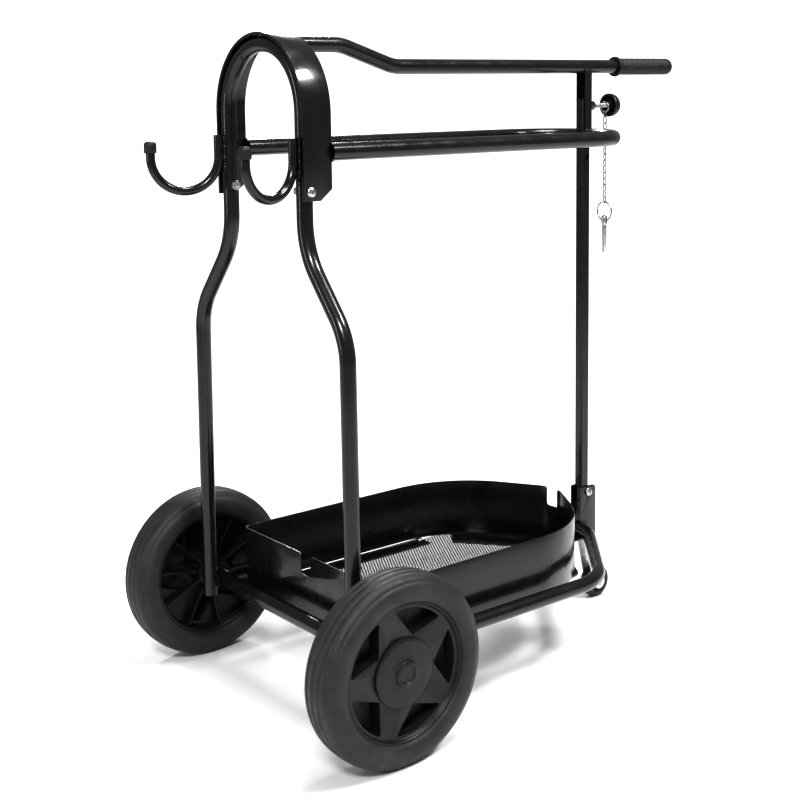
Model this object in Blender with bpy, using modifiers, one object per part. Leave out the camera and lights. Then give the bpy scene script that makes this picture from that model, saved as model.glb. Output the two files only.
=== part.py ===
"""Folding saddle cart: a wheeled tack trolley with a saddle rail, bridle hooks and a grooming tray.

Metres, +Z up. The grip end points to +X, the two big wheels are at the -X end, and +Y is the
cart's left side. Every shape below is drawn in the cart's own frame, whose X = 0 is the plane of
the front legs and whose Z = 0 is the floor. The empty named cart then moves the lot along X, so
that the middle of the whole object lies over the world origin.
"""

from math import atan2, cos, pi, radians, sin, tan

import bmesh
import bpy
from mathutils import Matrix, Vector

# ---- driving dimensions -------------------------------------------------------------------------
GAP = 0.0003  # between pieces that touch
CART_SHIFT_X = -0.37685  # middle of the object's length, seen from the leg plane

TUBE = 0.0235  # legs, base rail and handle
TUBE_WALL = 0.0015
RAIL = 0.0255  # saddle rail
POST = 0.0175  # square post
BOLT = 0.008

# front frame: a bottle shape of legs, shoulders, neck and arch
FOOT_HALF = 0.1985
KNEE_HALF = 0.194
NECK_HALF = 0.098
FOOT_Z = 0.110
KNEE_Z = 0.583
NECK_Z = 0.697
ARCH_Z = 0.891
KNEE_RADIUS = 0.10
NECK_RADIUS = 0.12

# axle and wheels
AXLE_TUBE = 0.025
AXLE_TUBE_WALL = 0.002
AXLE_Z = 0.130
AXLE_X = (TUBE + AXLE_TUBE) / 2 + GAP
AXLE_ROD = 0.012
WHEEL_RADIUS = 0.138
WHEEL_WIDTH = 0.066
WHEEL_HALF = 0.2574
HUB_RADIUS = 0.0985

# base rail and tray
BASE_HALF = 0.208
BASE_CORNER_X = 0.486
BASE_TIP_X = 0.669
TRAY_FRONT_X = 0.0535
TRAY_HALF = 0.180
TRAY_CORNER_X = 0.485
TRAY_TIP_X = 0.5934
TRAY_TOP = 0.2165
SHEET = 0.0015
SUPPORT = 0.003
FLOOR_Z = AXLE_Z - TUBE / 2
NOTCH_WIDTH = 0.026
NOTCH_Z = 0.183

# rear post and its foot
POST_X = 0.6555
PIVOT_X = 0.661
PIVOT_Z = 0.1965
POST_FOOT_Z = 0.172
POST_TOP_Z = 0.898
PIN_HOLE_Z = 0.800
EAR_SHEET = 0.0025
ROLLER_RADIUS = 0.029
ROLLER_WIDTH = 0.020
ROLLER_X = 0.690
CART_SHIFT_Z = WHEEL_RADIUS - AXLE_Z  # the wheels reach this far under the cart's own zero
ROLLER_Z = ROLLER_RADIUS - CART_SHIFT_Z

# carrier: strap arch, saddle rail and handle
FOLD_Z = 0.7815
STRAP_SHEET = 0.0045
STRAP_INNER = NECK_HALF + TUBE / 2 + 0.0005
STRAP_FRONT_X = -0.0118
STRAP_REAR_X = 0.0362
STRAP_END_Z = 0.7685
RAIL_HALF = 0.110
RAIL_Z = 0.836
RAIL_END_X = 0.6806
HANDLE_Z = 0.9565
HANDLE_FRONT_Z = ARCH_Z + NECK_HALF
HANDLE_END_X = 0.8725
GRIP_FRONT_X = 0.733
GRIP_END_X = 0.8786
CHANNEL_END_Z = 0.8165
CHANNEL_SHEET = 0.0015
CHANNEL_WEB = 0.0022

# hooks on the legs
HOOK_ROD = 0.0135
HOOK_X = -0.0189
HOOK_Y = 0.100
HOOK_TOP_Z = 0.857
HOOK_RADIUS = 0.0508
HOOK_SPLAY = radians(17.7)

# clamp knob, chain and locking pin
KNOB_Z = 0.889
KNOB_X = 0.7175
KNOB_RADIUS = 0.0205
CHAIN_X = 0.711
CHAIN_WIRE = 0.0022
LINK_LENGTH = 0.0149
LINK_WIDTH = 0.0078
LINK_COUNT = 15
CHAIN_RING_RADIUS = 0.0085
CHAIN_RING_WIRE = 0.0024
PIN_RING_RADIUS = 0.017
PIN_RING_WIRE = 0.003
PIN = 0.008
PIN_END_Z = 0.627

# mesh fineness
STEP = radians(15)  # along bends
SIDES = 3  # bevel resolution of a tube: ten sides
WHEEL_STEPS = 32
SMALL_STEPS = 16


# ---- scene and collections ----------------------------------------------------------------------
def clear_scene():
    for obj in list(bpy.data.objects):
        bpy.data.objects.remove(obj)


def new_collection(name):
    collection = bpy.data.collections.new(name)
    bpy.context.scene.collection.children.link(collection)
    return collection


def new_empty(name, location, parent=None):
    """An empty at a place in the cart's frame; moving groups have theirs on the joint's axis."""
    obj = bpy.data.objects.new(name, None)
    obj.empty_display_size = 0.03
    obj["place"] = location
    if parent:
        obj.parent = parent
        obj.location = Vector(location) - Vector(parent["place"])
    PARTS.objects.link(obj)
    return obj


def new_material(name, color, roughness, metallic=0.0):
    material = bpy.data.materials.new(name)
    material.use_nodes = True
    shader = material.node_tree.nodes["Principled BSDF"]
    shader.inputs["Base Color"].default_value = (*color, 1.0)
    shader.inputs["Roughness"].default_value = roughness
    shader.inputs["Metallic"].default_value = metallic
    return material


# ---- putting a shape in its place ---------------------------------------------------------------
def keep(obj, name, body, material):
    """Names a shape drawn in the cart's frame, and hangs it on its body with its origin there."""
    obj.name = name
    obj.data.name = name
    obj.data.transform(Matrix.Translation(-Vector(body["place"])))
    obj.parent = body
    obj.data.materials.clear()
    obj.data.materials.append(material)
    PARTS.objects.link(obj)
    if obj.type == "MESH":
        obj.data.shade_smooth()
        obj.data.set_sharp_from_angle(angle=radians(35))
    return obj


def keep_tool(obj, name, body):
    """A cutter or a shape to be joined on, which isn't part of the object by itself."""
    obj.name = name
    obj.data.transform(Matrix.Translation(-Vector(body["place"])))
    obj.parent = body
    obj.hide_render = True
    obj.display_type = "WIRE"
    TOOLS.objects.link(obj)
    return obj


def combine(obj, tool, operation):
    modifier = obj.modifiers.new(f"{operation} {tool.name}", "BOOLEAN")
    modifier.operation = operation
    modifier.solver = "EXACT"
    modifier.object = tool


def as_mesh(curve):
    """The curve's evaluated shape as a mesh object, with its loose caps welded on."""
    bpy.context.scene.collection.objects.link(curve)
    bpy.context.view_layer.update()
    graph = bpy.context.evaluated_depsgraph_get()
    mesh = bpy.data.meshes.new_from_object(curve.evaluated_get(graph))
    obj = bpy.data.objects.new(curve.name, mesh)
    obj.matrix_world = curve.matrix_world
    bpy.data.objects.remove(curve)
    shape = bmesh.new()
    shape.from_mesh(mesh)
    bmesh.ops.remove_doubles(shape, verts=shape.verts, dist=0.00001)
    bmesh.ops.recalc_face_normals(shape, faces=shape.faces)
    shape.to_mesh(mesh)
    shape.free()
    return obj


# ---- paths --------------------------------------------------------------------------------------
def rounded(corners, step=STEP):
    """Points along straight runs, with each corner (point, radius) turned into an arc."""
    points = []
    for i, (corner, radius) in enumerate(corners):
        corner = Vector(corner)
        if radius == 0 or i in (0, len(corners) - 1):
            points.append(corner)
            continue
        before = (Vector(corners[i - 1][0]) - corner).normalized()
        after = (Vector(corners[i + 1][0]) - corner).normalized()
        points += arc_at(corner, before, after, radius, step)
    return points


def arc_at(corner, before, after, radius, step):
    turn = pi - before.angle(after)
    centre = corner + (before + after).normalized() * radius / cos(turn / 2)
    first = corner + before * radius * tan(turn / 2) - centre
    axis = (-before).cross(after).normalized()
    count = max(2, round(turn / step))
    return [centre + Matrix.Rotation(turn * i / count, 3, axis) @ first for i in range(count + 1)]


def loop_of(corners, step=STEP):
    """The same for a closed outline."""
    count = len(corners)
    points = []
    for i, (corner, radius) in enumerate(corners):
        corner = Vector(corner)
        before = (Vector(corners[i - 1][0]) - corner).normalized()
        after = (Vector(corners[(i + 1) % count][0]) - corner).normalized()
        points += arc_at(corner, before, after, radius, step) if radius else [corner]
    return points


def half_circle(centre, radius, across, up, step=STEP):
    """Points from -across over up to +across."""
    count = round(pi / step)
    angles = [pi * i / count for i in range(count + 1)]
    return [Vector(centre) + radius * (-cos(a) * Vector(across) + sin(a) * Vector(up)) for a in angles]


# ---- shapes -------------------------------------------------------------------------------------
def tube_curve(name, points, diameter, sides=SIDES, closed=False, caps=True):
    data = bpy.data.curves.new(name, "CURVE")
    data.dimensions = "3D"
    data.bevel_depth = diameter / 2
    data.bevel_resolution = sides
    data.use_fill_caps = caps
    spline = data.splines.new("POLY")
    spline.points.add(len(points) - 1)
    for slot, point in zip(spline.points, points):
        slot.co = (*point, 1.0)
    spline.use_cyclic_u = closed
    return bpy.data.objects.new(name, data)


def rod(points, diameter, sides=SIDES, closed=False):
    return as_mesh(tube_curve("rod", points, diameter, sides, closed))


def pipe(points, diameter, wall, sides=SIDES):
    """A hollow tube, open at both ends."""
    obj = as_mesh(tube_curve("pipe", points, diameter, sides, caps=False))
    shell = obj.modifiers.new("wall", "SOLIDIFY")
    shell.thickness = wall
    shell.offset = -1.0
    shell.use_even_offset = True
    return obj


def plate(outline, thickness, place):
    """A flat outline in local XY, given its thickness along local Z, then moved by place."""
    data = bpy.data.curves.new("plate", "CURVE")
    data.dimensions = "2D"
    data.fill_mode = "BOTH"
    data.extrude = thickness / 2
    spline = data.splines.new("POLY")
    spline.points.add(len(outline) - 1)
    for slot, point in zip(spline.points, outline):
        slot.co = (point[0], point[1], 0.0, 1.0)
    spline.use_cyclic_u = True
    obj = as_mesh(bpy.data.objects.new("plate", data))
    obj.data.transform(place)
    return obj


def turned(profile, centre, direction, steps=SMALL_STEPS, closed=False):
    """A turned shape: profile is (radius, height) from the top down its outer side."""
    mesh = bpy.data.meshes.new("turned")
    count = len(profile)
    edges = [(i, i + 1) for i in range(count - 1)] + ([(count - 1, 0)] if closed else [])
    mesh.from_pydata([(r, 0.0, z) for r, z in profile], edges, [])
    obj = bpy.data.objects.new("turned", mesh)
    screw = obj.modifiers.new("turn", "SCREW")
    screw.steps = steps
    screw.render_steps = steps
    screw.use_merge_vertices = True
    screw.merge_threshold = 0.00001
    bpy.context.scene.collection.objects.link(obj)
    bpy.context.view_layer.update()
    graph = bpy.context.evaluated_depsgraph_get()
    solid = bpy.data.meshes.new_from_object(obj.evaluated_get(graph))
    bpy.data.objects.remove(obj)
    solid.transform(aimed(centre, direction))
    return bpy.data.objects.new("turned", solid)


def aimed(centre, direction):
    """Local Z turned to a direction, at a centre."""
    turn = Vector((0, 0, 1)).rotation_difference(Vector(direction)).to_matrix().to_4x4()
    return Matrix.Translation(centre) @ turn


def cylinder(radius, start, end, segments=SMALL_STEPS, turn=0.0):
    """A round or many-sided bar between two points."""
    start, end = Vector(start), Vector(end)
    mesh = bpy.data.meshes.new("cylinder")
    shape = bmesh.new()
    bmesh.ops.create_cone(
        shape,
        cap_ends=True,
        segments=segments,
        radius1=radius,
        radius2=radius,
        depth=(end - start).length,
        matrix=aimed((start + end) / 2, end - start) @ Matrix.Rotation(turn, 4, "Z"),
    )
    shape.to_mesh(mesh)
    shape.free()
    return bpy.data.objects.new("cylinder", mesh)


def box(low, high, place=None):
    low, high = Vector(low), Vector(high)
    mesh = bpy.data.meshes.new("box")
    shape = bmesh.new()
    scale = Matrix.Diagonal((*(high - low), 1.0))
    bmesh.ops.create_cube(shape, size=1.0, matrix=Matrix.Translation((low + high) / 2) @ scale)
    shape.to_mesh(mesh)
    shape.free()
    if place:
        mesh.transform(place)
    return bpy.data.objects.new("box", mesh)


def ring(inner, outer, low, high, centre, direction, steps=SMALL_STEPS):
    """A washer or bush: a ring between two heights along direction."""
    profile = [(inner, high), (outer, high), (outer, low), (inner, low)]
    return turned(profile, centre, direction, steps, closed=True)


def hex_ring(inner, across_flats, start, end, body, name):
    """A hexagonal nut with a plain bore."""
    nut = cylinder(across_flats / 2 / cos(pi / 6), start, end, 6)
    margin = (Vector(end) - Vector(start)).normalized() * 0.002
    bore = cylinder(inner, Vector(start) - margin, Vector(end) + margin, 16)
    keep(nut, name, body, STEEL)
    combine(nut, keep_tool(bore, f"{name}_bore", body), "DIFFERENCE")
    return nut


def domed_bolt(shank, length, head, height, under_head, direction):
    """A domed head with its shank, under_head is where the head rests and direction points out."""
    dome = [(0.0, height)]
    for i in range(1, 4):
        angle = pi / 2 * i / 3
        dome.append((head * sin(angle), height * (0.25 + 0.75 * cos(angle))))
    profile = dome + [(head, 0.0), (shank, 0.0), (shank, -length), (0.0, -length)]
    return turned(profile, under_head, direction)


# x, y, z of a plate's local axes in the cart's frame
FACING_X = Matrix(((0, 0, 1, 0), (1, 0, 0, 0), (0, 1, 0, 0), (0, 0, 0, 1)))
FACING_Y = Matrix(((1, 0, 0, 0), (0, 0, -1, 0), (0, 1, 0, 0), (0, 0, 0, 1)))
SIDE_NAMES = {"left": 1, "right": -1}


def hole_cutter(name, body, radius, start, end):
    return keep_tool(cylinder(radius, start, end, 16), name, body)


# ---- front frame --------------------------------------------------------------------------------
def front_frame():
    right = rounded(
        [
            ((0, -FOOT_HALF, FOOT_Z), 0),
            ((0, -KNEE_HALF, KNEE_Z), KNEE_RADIUS),
            ((0, -NECK_HALF, NECK_Z), NECK_RADIUS),
            ((0, -NECK_HALF, ARCH_Z), 0),
        ]
    )[:-1]
    arch = half_circle((0, 0, ARCH_Z), NECK_HALF, (0, 1, 0), (0, 0, 1))
    left = [Vector((p.x, -p.y, p.z)) for p in reversed(right)]
    frame = keep(pipe(right + arch + left, TUBE, TUBE_WALL), "front_frame_tube", CART, BLACK)
    reach = NECK_HALF + TUBE
    hole = hole_cutter("fold_bolt_hole", CART, BOLT / 2 + GAP, (0, -reach, FOLD_Z), (0, reach, FOLD_Z))
    combine(frame, hole, "DIFFERENCE")


def hooks():
    for side, sign in SIDE_NAMES.items():
        outward = Vector((-cos(HOOK_SPLAY), sign * sin(HOOK_SPLAY), 0))
        stem = Vector((HOOK_X, sign * HOOK_Y, HOOK_TOP_Z))
        low = Vector((stem.x, stem.y, FOLD_Z - HOOK_ROD / 2 + HOOK_RADIUS))
        bend = half_circle(low + outward * HOOK_RADIUS, HOOK_RADIUS, outward, (0, 0, -1), radians(18))
        tip = bend[-1] + Vector((0, 0, HOOK_TOP_Z - low.z - 0.012))
        keep(rod([stem] + bend + [tip], HOOK_ROD, 3), f"hook_{side}", CART, BLACK)
        hook_cap(side, tip)


def hook_cap(side, tip):
    """A rubber cap pushed over the hook's end."""
    inner = HOOK_ROD / 2 + GAP
    profile = [
        (0.0, 0.0050),
        (0.0060, 0.0045),
        (0.0092, 0.0010),
        (0.0092, -0.0110),
        (0.0080, -0.0125),
        (inner, -0.0125),
        (inner, GAP),
        (0.0, GAP),
    ]
    keep(turned(profile, tip, (0, 0, 1), 16), f"hook_cap_{side}", CART, RUBBER)


def fold_bolts():
    """The two bolts that the carrier turns on, through the strap and the leg."""
    strap_outer = STRAP_INNER + STRAP_SHEET
    inside = NECK_HALF - TUBE / 2
    for side, sign in SIDE_NAMES.items():
        seat = (0, sign * (strap_outer + GAP), FOLD_Z)
        bolt = domed_bolt(BOLT / 2, strap_outer - inside + 0.008, 0.0075, 0.0045, seat, (0, sign, 0))
        keep(bolt, f"fold_bolt_{side}", CART, STEEL)
        start = Vector((0, sign * (inside - GAP), FOLD_Z))
        hex_ring(BOLT / 2 + GAP, 0.013, start, start - Vector((0, sign * 0.0055, 0)), CART, f"fold_nut_{side}")


# ---- axle and wheels ----------------------------------------------------------------------------
def axle():
    half = BASE_HALF + TUBE / 2
    ends = [Vector((AXLE_X, -half, AXLE_Z)), Vector((AXLE_X, half, AXLE_Z))]
    keep(pipe(ends, AXLE_TUBE, AXLE_TUBE_WALL), "axle_tube", CART, BLACK)
    reach = WHEEL_HALF + 0.0165
    rod_ends = ((AXLE_X, -reach, AXLE_Z), (AXLE_X, reach, AXLE_Z))
    keep(cylinder(AXLE_ROD / 2, *rod_ends), "wheel_axle", CART, STEEL)
    # the tube's bore is a ten-sided one, and the bush lies within its flats
    bore = (AXLE_TUBE / 2 - AXLE_TUBE_WALL) * cos(pi / (2 * SIDES + 4)) - GAP
    inner = AXLE_ROD / 2 + GAP
    for side, sign in SIDE_NAMES.items():
        place = (AXLE_X, sign * half, AXLE_Z)
        out = (0, sign, 0)
        keep(ring(inner, bore, -0.012, 0.0, place, out), f"axle_bush_{side}", CART, PLASTIC)
        keep(ring(inner, 0.014, GAP, 0.0018, place, out), f"axle_washer_{side}", CART, STEEL)
        hub_face = (AXLE_X, sign * (WHEEL_HALF + 0.010), AXLE_Z)
        keep(ring(inner, 0.0115, GAP, 0.0018, hub_face, out), f"axle_lock_ring_{side}", CART, STEEL)


def wheel(side, sign):
    body = new_empty(f"wheel_{side}", (AXLE_X, sign * WHEEL_HALF, AXLE_Z), CART)
    centre, out = body["place"], (0, sign, 0)
    keep(turned(tyre_profile(), centre, out, WHEEL_STEPS, closed=True), f"tyre_{side}", body, TYRE)
    hub(side, body, centre, out)
    bush = ring(AXLE_ROD / 2 + GAP / 2, 0.0085, -0.0350, 0.0098, centre, out)
    keep(bush, f"wheel_bush_{side}", body, NYLON)
    cap = [
        (0.0, 0.0300),
        (0.0120, 0.0296),
        (0.0145, 0.0262),
        (0.0470, 0.0250),
        (0.0500, 0.0225),
        (0.0500, 0.0203),
        (0.0, 0.0203),
    ]
    keep(turned(cap, centre, out, 24), f"hub_cap_{side}", body, PLASTIC)


def tyre_profile():
    half = WHEEL_WIDTH / 2
    return [
        (HUB_RADIUS + GAP, half - 0.004),
        (0.1065, half),
        (0.1250, half),
        (0.1342, half - 0.005),
        (WHEEL_RADIUS, half - 0.014),
        (WHEEL_RADIUS, 0.006),
        (0.1352, 0.004),
        (0.1352, 0.001),
        (WHEEL_RADIUS, -0.001),
        (WHEEL_RADIUS, -half + 0.014),
        (0.1342, -half + 0.005),
        (0.1250, -half),
        (0.1065, -half),
        (HUB_RADIUS + GAP, -half + 0.004),
    ]


def hub(side, body, centre, out):
    """One moulding: a raised star with a hollow back, five floored pockets between its arms, a boss and ten ribs."""
    place = aimed(centre, out)
    disc = turned(
        [
            (0.0086, 0.010),
            (0.0155, 0.010),
            (0.0155, 0.020),
            (0.0925, 0.020),
            (0.0955, 0.026),
            (HUB_RADIUS, 0.026),
            (HUB_RADIUS, -0.026),
            (0.0955, -0.026),
            (0.0930, -0.0050),
            (0.0230, -0.0050),
            (0.0230, -0.0200),
            (0.0175, -0.0200),
            (0.0175, -0.0352),
            (0.0086, -0.0352),
        ],
        centre,
        out,
        WHEEL_STEPS,
        closed=True,
    )
    keep(disc, f"wheel_hub_{side}", body, PLASTIC)
    window = [Vector((0.0520, 0, 0))]
    for angle in (-27, -14, 0, 14, 27):
        window.append(Vector((0.0905 * cos(radians(angle)), 0.0905 * sin(radians(angle)), 0)))
    hollow = []
    for i in range(5):
        turn = 72 * i
        spin = Matrix.Rotation(radians(turn), 4, "Z") @ Matrix.Translation((0, 0, 0.0105))
        cutter = keep_tool(plate(window, 0.025, place @ spin), f"window_{side}_{i}", body)
        combine(disc, cutter, "DIFFERENCE")
        for radius, angle in ((0.0482, 0), (0.0868, 29.1), (0.0868, 42.9)):
            corner = radians(turn + angle)
            hollow.append(Vector((radius * cos(corner), radius * sin(corner), 0)))
    back = keep_tool(plate(hollow, 0.0260, place @ Matrix.Translation((0, 0, 0.0032))), f"star_back_{side}", body)
    core = cylinder(0.0240, place @ Vector((0, 0, -0.03)), place @ Vector((0, 0, 0.03)), 24)
    combine(back, keep_tool(core, f"star_core_{side}", body), "DIFFERENCE")
    combine(disc, back, "DIFFERENCE")
    for i in range(10):
        spin = Matrix.Rotation(2 * pi * (i + 0.28) / 10, 4, "Z")
        rib = box((0.0195, -0.00125, -0.0160), (0.0956, 0.00125, -0.0034), place @ spin)
        combine(disc, keep_tool(rib, f"rib_{side}_{i}", body), "UNION")


# ---- base and tray ------------------------------------------------------------------------------
def base():
    start = AXLE_X
    corners = [
        ((start, -BASE_HALF, AXLE_Z), 0),
        ((BASE_CORNER_X, -BASE_HALF, AXLE_Z), 0.10),
        ((BASE_TIP_X, 0, AXLE_Z), 0.08),
        ((BASE_CORNER_X, BASE_HALF, AXLE_Z), 0.10),
        ((start, BASE_HALF, AXLE_Z), 0),
    ]
    rail = keep(pipe(rounded(corners), TUBE, TUBE_WALL), "base_rail", CART, BLACK)
    ends = ((AXLE_X, -0.25, AXLE_Z), (AXLE_X, 0.25, AXLE_Z))
    cope = keep_tool(cylinder(AXLE_TUBE / 2 + GAP, *ends, 24), "base_rail_cope", CART)
    combine(rail, cope, "DIFFERENCE")
    # the cope leaves the tube's short end in front of the axle tube, which goes too
    front = box((-0.02, -0.25, 0.10), (AXLE_X, 0.25, 0.16))
    combine(rail, keep_tool(front, "base_rail_front", CART), "DIFFERENCE")


def tray_outline(inset=0.0):
    """Plan of the tray: straight front and sides, and a blunt rounded rear."""
    half = TRAY_HALF - inset
    front = TRAY_FRONT_X + inset
    tip = TRAY_TIP_X - inset * 1.17
    corner = TRAY_CORNER_X - inset * 0.57
    return loop_of(
        [
            ((front, -half, 0), 0.012 - inset),
            ((corner, -half, 0), 0.19 - inset),
            ((tip, 0, 0), 0.06 - inset),
            ((corner, half, 0), 0.19 - inset),
            ((front, half, 0), 0.012 - inset),
        ],
        radians(12),
    )


def tray():
    floor_top = FLOOR_Z + SHEET
    wall_low = floor_top + GAP
    middle = Matrix.Translation((0, 0, (wall_low + TRAY_TOP) / 2))
    wall = keep(plate(tray_outline(), TRAY_TOP - wall_low, middle), "tray_wall", CART, BLACK)
    inside = keep_tool(plate(tray_outline(SHEET), 0.2, middle), "tray_inside", CART)
    combine(wall, inside, "DIFFERENCE")
    half = NOTCH_WIDTH / 2
    notch = loop_of(
        [
            ((half, NOTCH_Z, 0), 0.0045),
            ((half, TRAY_TOP + 0.02, 0), 0),
            ((-half, TRAY_TOP + 0.02, 0), 0),
            ((-half, NOTCH_Z, 0), 0.0045),
        ]
    )
    slot = plate(notch, 0.64, Matrix.Translation((0.32, 0, 0)) @ FACING_X)
    combine(wall, keep_tool(slot, "tray_notches", CART), "DIFFERENCE")
    level = Matrix.Translation((0, 0, FLOOR_Z + SHEET / 2))
    floor = keep(plate(tray_outline(), SHEET, level), "tray_floor", CART, BLACK)
    supports(floor)


def supports(floor):
    """Flat bars under the floor, riveted to it at their rear ends."""
    top = FLOOR_Z - GAP
    low = top - SUPPORT
    rivet_x = 0.405
    for side, sign in SIDE_NAMES.items():
        y_low, y_high = sorted((sign * 0.138, sign * 0.172))
        bar = keep(box((0.030, y_low, low), (0.415, y_high, top)), f"tray_support_{side}", CART, BLACK)
        spot = (rivet_x, sign * 0.158)
        start, end = (*spot, low - 0.01), (*spot, top + 0.01)
        hole = hole_cutter(f"rivet_hole_{side}", CART, 0.0025 + GAP, start, end)
        combine(bar, hole, "DIFFERENCE")
        combine(floor, hole, "DIFFERENCE")
        seat = (*spot, FLOOR_Z + SHEET + GAP)
        length = FLOOR_Z + SHEET + GAP - low
        rivet = domed_bolt(0.0025, length, 0.0062, 0.0034, seat, (0, 0, 1))
        keep(rivet, f"tray_rivet_{side}", CART, STEEL)
    outline = loop_of(
        [
            ((0.448, -0.118, 0), 0),
            ((0.472, -0.150, 0), 0.01),
            ((0.505, -0.142, 0), 0.02),
            ((0.580, -0.022, 0), 0.01),
            ((0.652, -0.022, 0), 0.004),
            ((0.652, 0.022, 0), 0.004),
            ((0.580, 0.022, 0), 0.01),
            ((0.505, 0.142, 0), 0.02),
            ((0.472, 0.150, 0), 0.01),
            ((0.448, 0.118, 0), 0),
            ((0.545, 0.0, 0), 0.045),
        ],
        radians(25),
    )
    level = Matrix.Translation((0, 0, top - SUPPORT / 2))
    keep(plate(outline, SUPPORT, level), "tray_support_rear", CART, BLACK)


# ---- rear bracket, roller and post --------------------------------------------------------------
EAR_INSIDE = POST / 2 + 0.0005
EAR_REAR_X = 0.680
EAR_TOP_Z = 0.2075
EAR_STEP_X = 0.6545
EAR_LOW_REAR = Vector((EAR_REAR_X, 0.1055, 0))
EAR_LOW_FRONT = Vector((EAR_STEP_X, 0.1220, 0))


def rear_bracket():
    """Two ears on the base rail's tip, tied by a web in front of the post's foot."""
    over_rail = AXLE_Z + TUBE / 2 + GAP
    outline = loop_of(
        [
            ((0.640, over_rail, 0), 0),
            ((EAR_STEP_X, over_rail, 0), 0),
            (EAR_LOW_FRONT, 0),
            (EAR_LOW_REAR, 0),
            ((EAR_REAR_X, EAR_TOP_Z, 0), 0.008),
            ((0.640, EAR_TOP_Z, 0), 0.002),
        ]
    )
    middle = EAR_INSIDE + EAR_SHEET / 2
    ears = []
    for sign in (1, -1):
        ears.append(plate(outline, EAR_SHEET, Matrix.Translation((0, sign * middle, 0)) @ FACING_Y))
    bracket = keep(ears[0], "rear_bracket", CART, BLACK)
    combine(bracket, keep_tool(ears[1], "rear_bracket_ear", CART), "UNION")
    reach = EAR_INSIDE + EAR_SHEET / 2
    web = box((0.6432, -reach, over_rail + 0.0005), (0.6458, reach, 0.1800))
    combine(bracket, keep_tool(web, "rear_bracket_web", CART), "UNION")
    lower_web = box((EAR_STEP_X + 0.0005, -reach, 0.1235), (EAR_STEP_X + 0.003, reach, 0.1480))
    combine(bracket, keep_tool(lower_web, "rear_bracket_lower_web", CART), "UNION")
    ends = ((PIVOT_X, -0.03, PIVOT_Z), (PIVOT_X, 0.03, PIVOT_Z))
    combine(bracket, hole_cutter("bracket_bolt_hole", CART, BOLT / 2 + GAP, *ends), "DIFFERENCE")
    outside = EAR_INSIDE + EAR_SHEET
    bolt = domed_bolt(BOLT / 2, 2 * outside + 0.009, 0.0078, 0.0048, (PIVOT_X, -outside - GAP, PIVOT_Z), (0, -1, 0))
    keep(bolt, "post_bolt", CART, STEEL)
    start = Vector((PIVOT_X, outside + GAP, PIVOT_Z))
    hex_ring(BOLT / 2 + GAP, 0.013, start, start + Vector((0, 0.0065, 0)), CART, "post_nut")


def roller_fork():
    """A small plated fork under the bracket's slanted lower edge."""
    side_low = ROLLER_WIDTH / 2 + 0.0018
    sheet = 0.0020
    slope = (EAR_LOW_REAR - EAR_LOW_FRONT).normalized()
    below = Vector((slope.y, -slope.x, 0)) * GAP
    top_front = EAR_LOW_FRONT + below - slope * 0.0005
    top_rear = EAR_LOW_REAR + below + slope * 0.0085
    outline = [top_front, top_rear]
    eye = Vector((ROLLER_X, ROLLER_Z, 0))
    for degrees in range(4, -185, -21):
        angle = radians(degrees)
        outline.append(eye + 0.0130 * Vector((cos(angle), sin(angle), 0)))
    cheeks = []
    for sign in (1, -1):
        place = Matrix.Translation((0, sign * (side_low + sheet / 2), 0)) @ FACING_Y
        cheeks.append(plate(outline, sheet, place))
    fork = keep(cheeks[0], "roller_fork", CART, STEEL)
    combine(fork, keep_tool(cheeks[1], "roller_fork_cheek", CART), "UNION")
    crown = [top_front, top_rear]
    normal = Vector((slope.y, -slope.x, 0))
    crown += [top_rear + normal * 0.0027 - slope * 0.0012, top_front + normal * 0.0027 + slope * 0.0010]
    crown_plate = plate(crown, 2 * side_low + sheet * 0.9, FACING_Y)
    combine(fork, keep_tool(crown_plate, "roller_fork_crown", CART), "UNION")
    centre = (ROLLER_X, 0, ROLLER_Z)
    ends = ((ROLLER_X, -0.03, ROLLER_Z), (ROLLER_X, 0.03, ROLLER_Z))
    combine(fork, hole_cutter("fork_hole", CART, 0.003 + GAP, *ends), "DIFFERENCE")
    outside = side_low + sheet
    seat = (ROLLER_X, -outside - GAP, ROLLER_Z)
    bolt = domed_bolt(0.003, 2 * outside + 0.007, 0.0058, 0.0034, seat, (0, -1, 0))
    keep(bolt, "roller_bolt", CART, STEEL)
    start = Vector((ROLLER_X, outside + GAP, ROLLER_Z))
    hex_ring(0.003 + GAP, 0.010, start, start + Vector((0, 0.005, 0)), CART, "roller_nut")
    roller(centre)


def roller(centre):
    body = new_empty("roller", centre, CART)
    half = ROLLER_WIDTH / 2
    tread = [
        (0.0182, half - 0.001),
        (0.0250, half),
        (ROLLER_RADIUS, half - 0.003),
        (ROLLER_RADIUS, -half + 0.003),
        (0.0250, -half),
        (0.0182, -half + 0.001),
    ]
    keep(turned(tread, centre, (0, 1, 0), 24, closed=True), "roller_tyre", body, RUBBER)
    core = [
        (0.0032, half + 0.001),
        (0.0070, half + 0.001),
        (0.0085, half - 0.003),
        (0.0179, half - 0.003),
        (0.0179, -half + 0.003),
        (0.0085, -half + 0.003),
        (0.0070, -half - 0.001),
        (0.0032, -half - 0.001),
    ]
    keep(turned(core, centre, (0, 1, 0), 24, closed=True), "roller_hub", body, PLASTIC)


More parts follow.
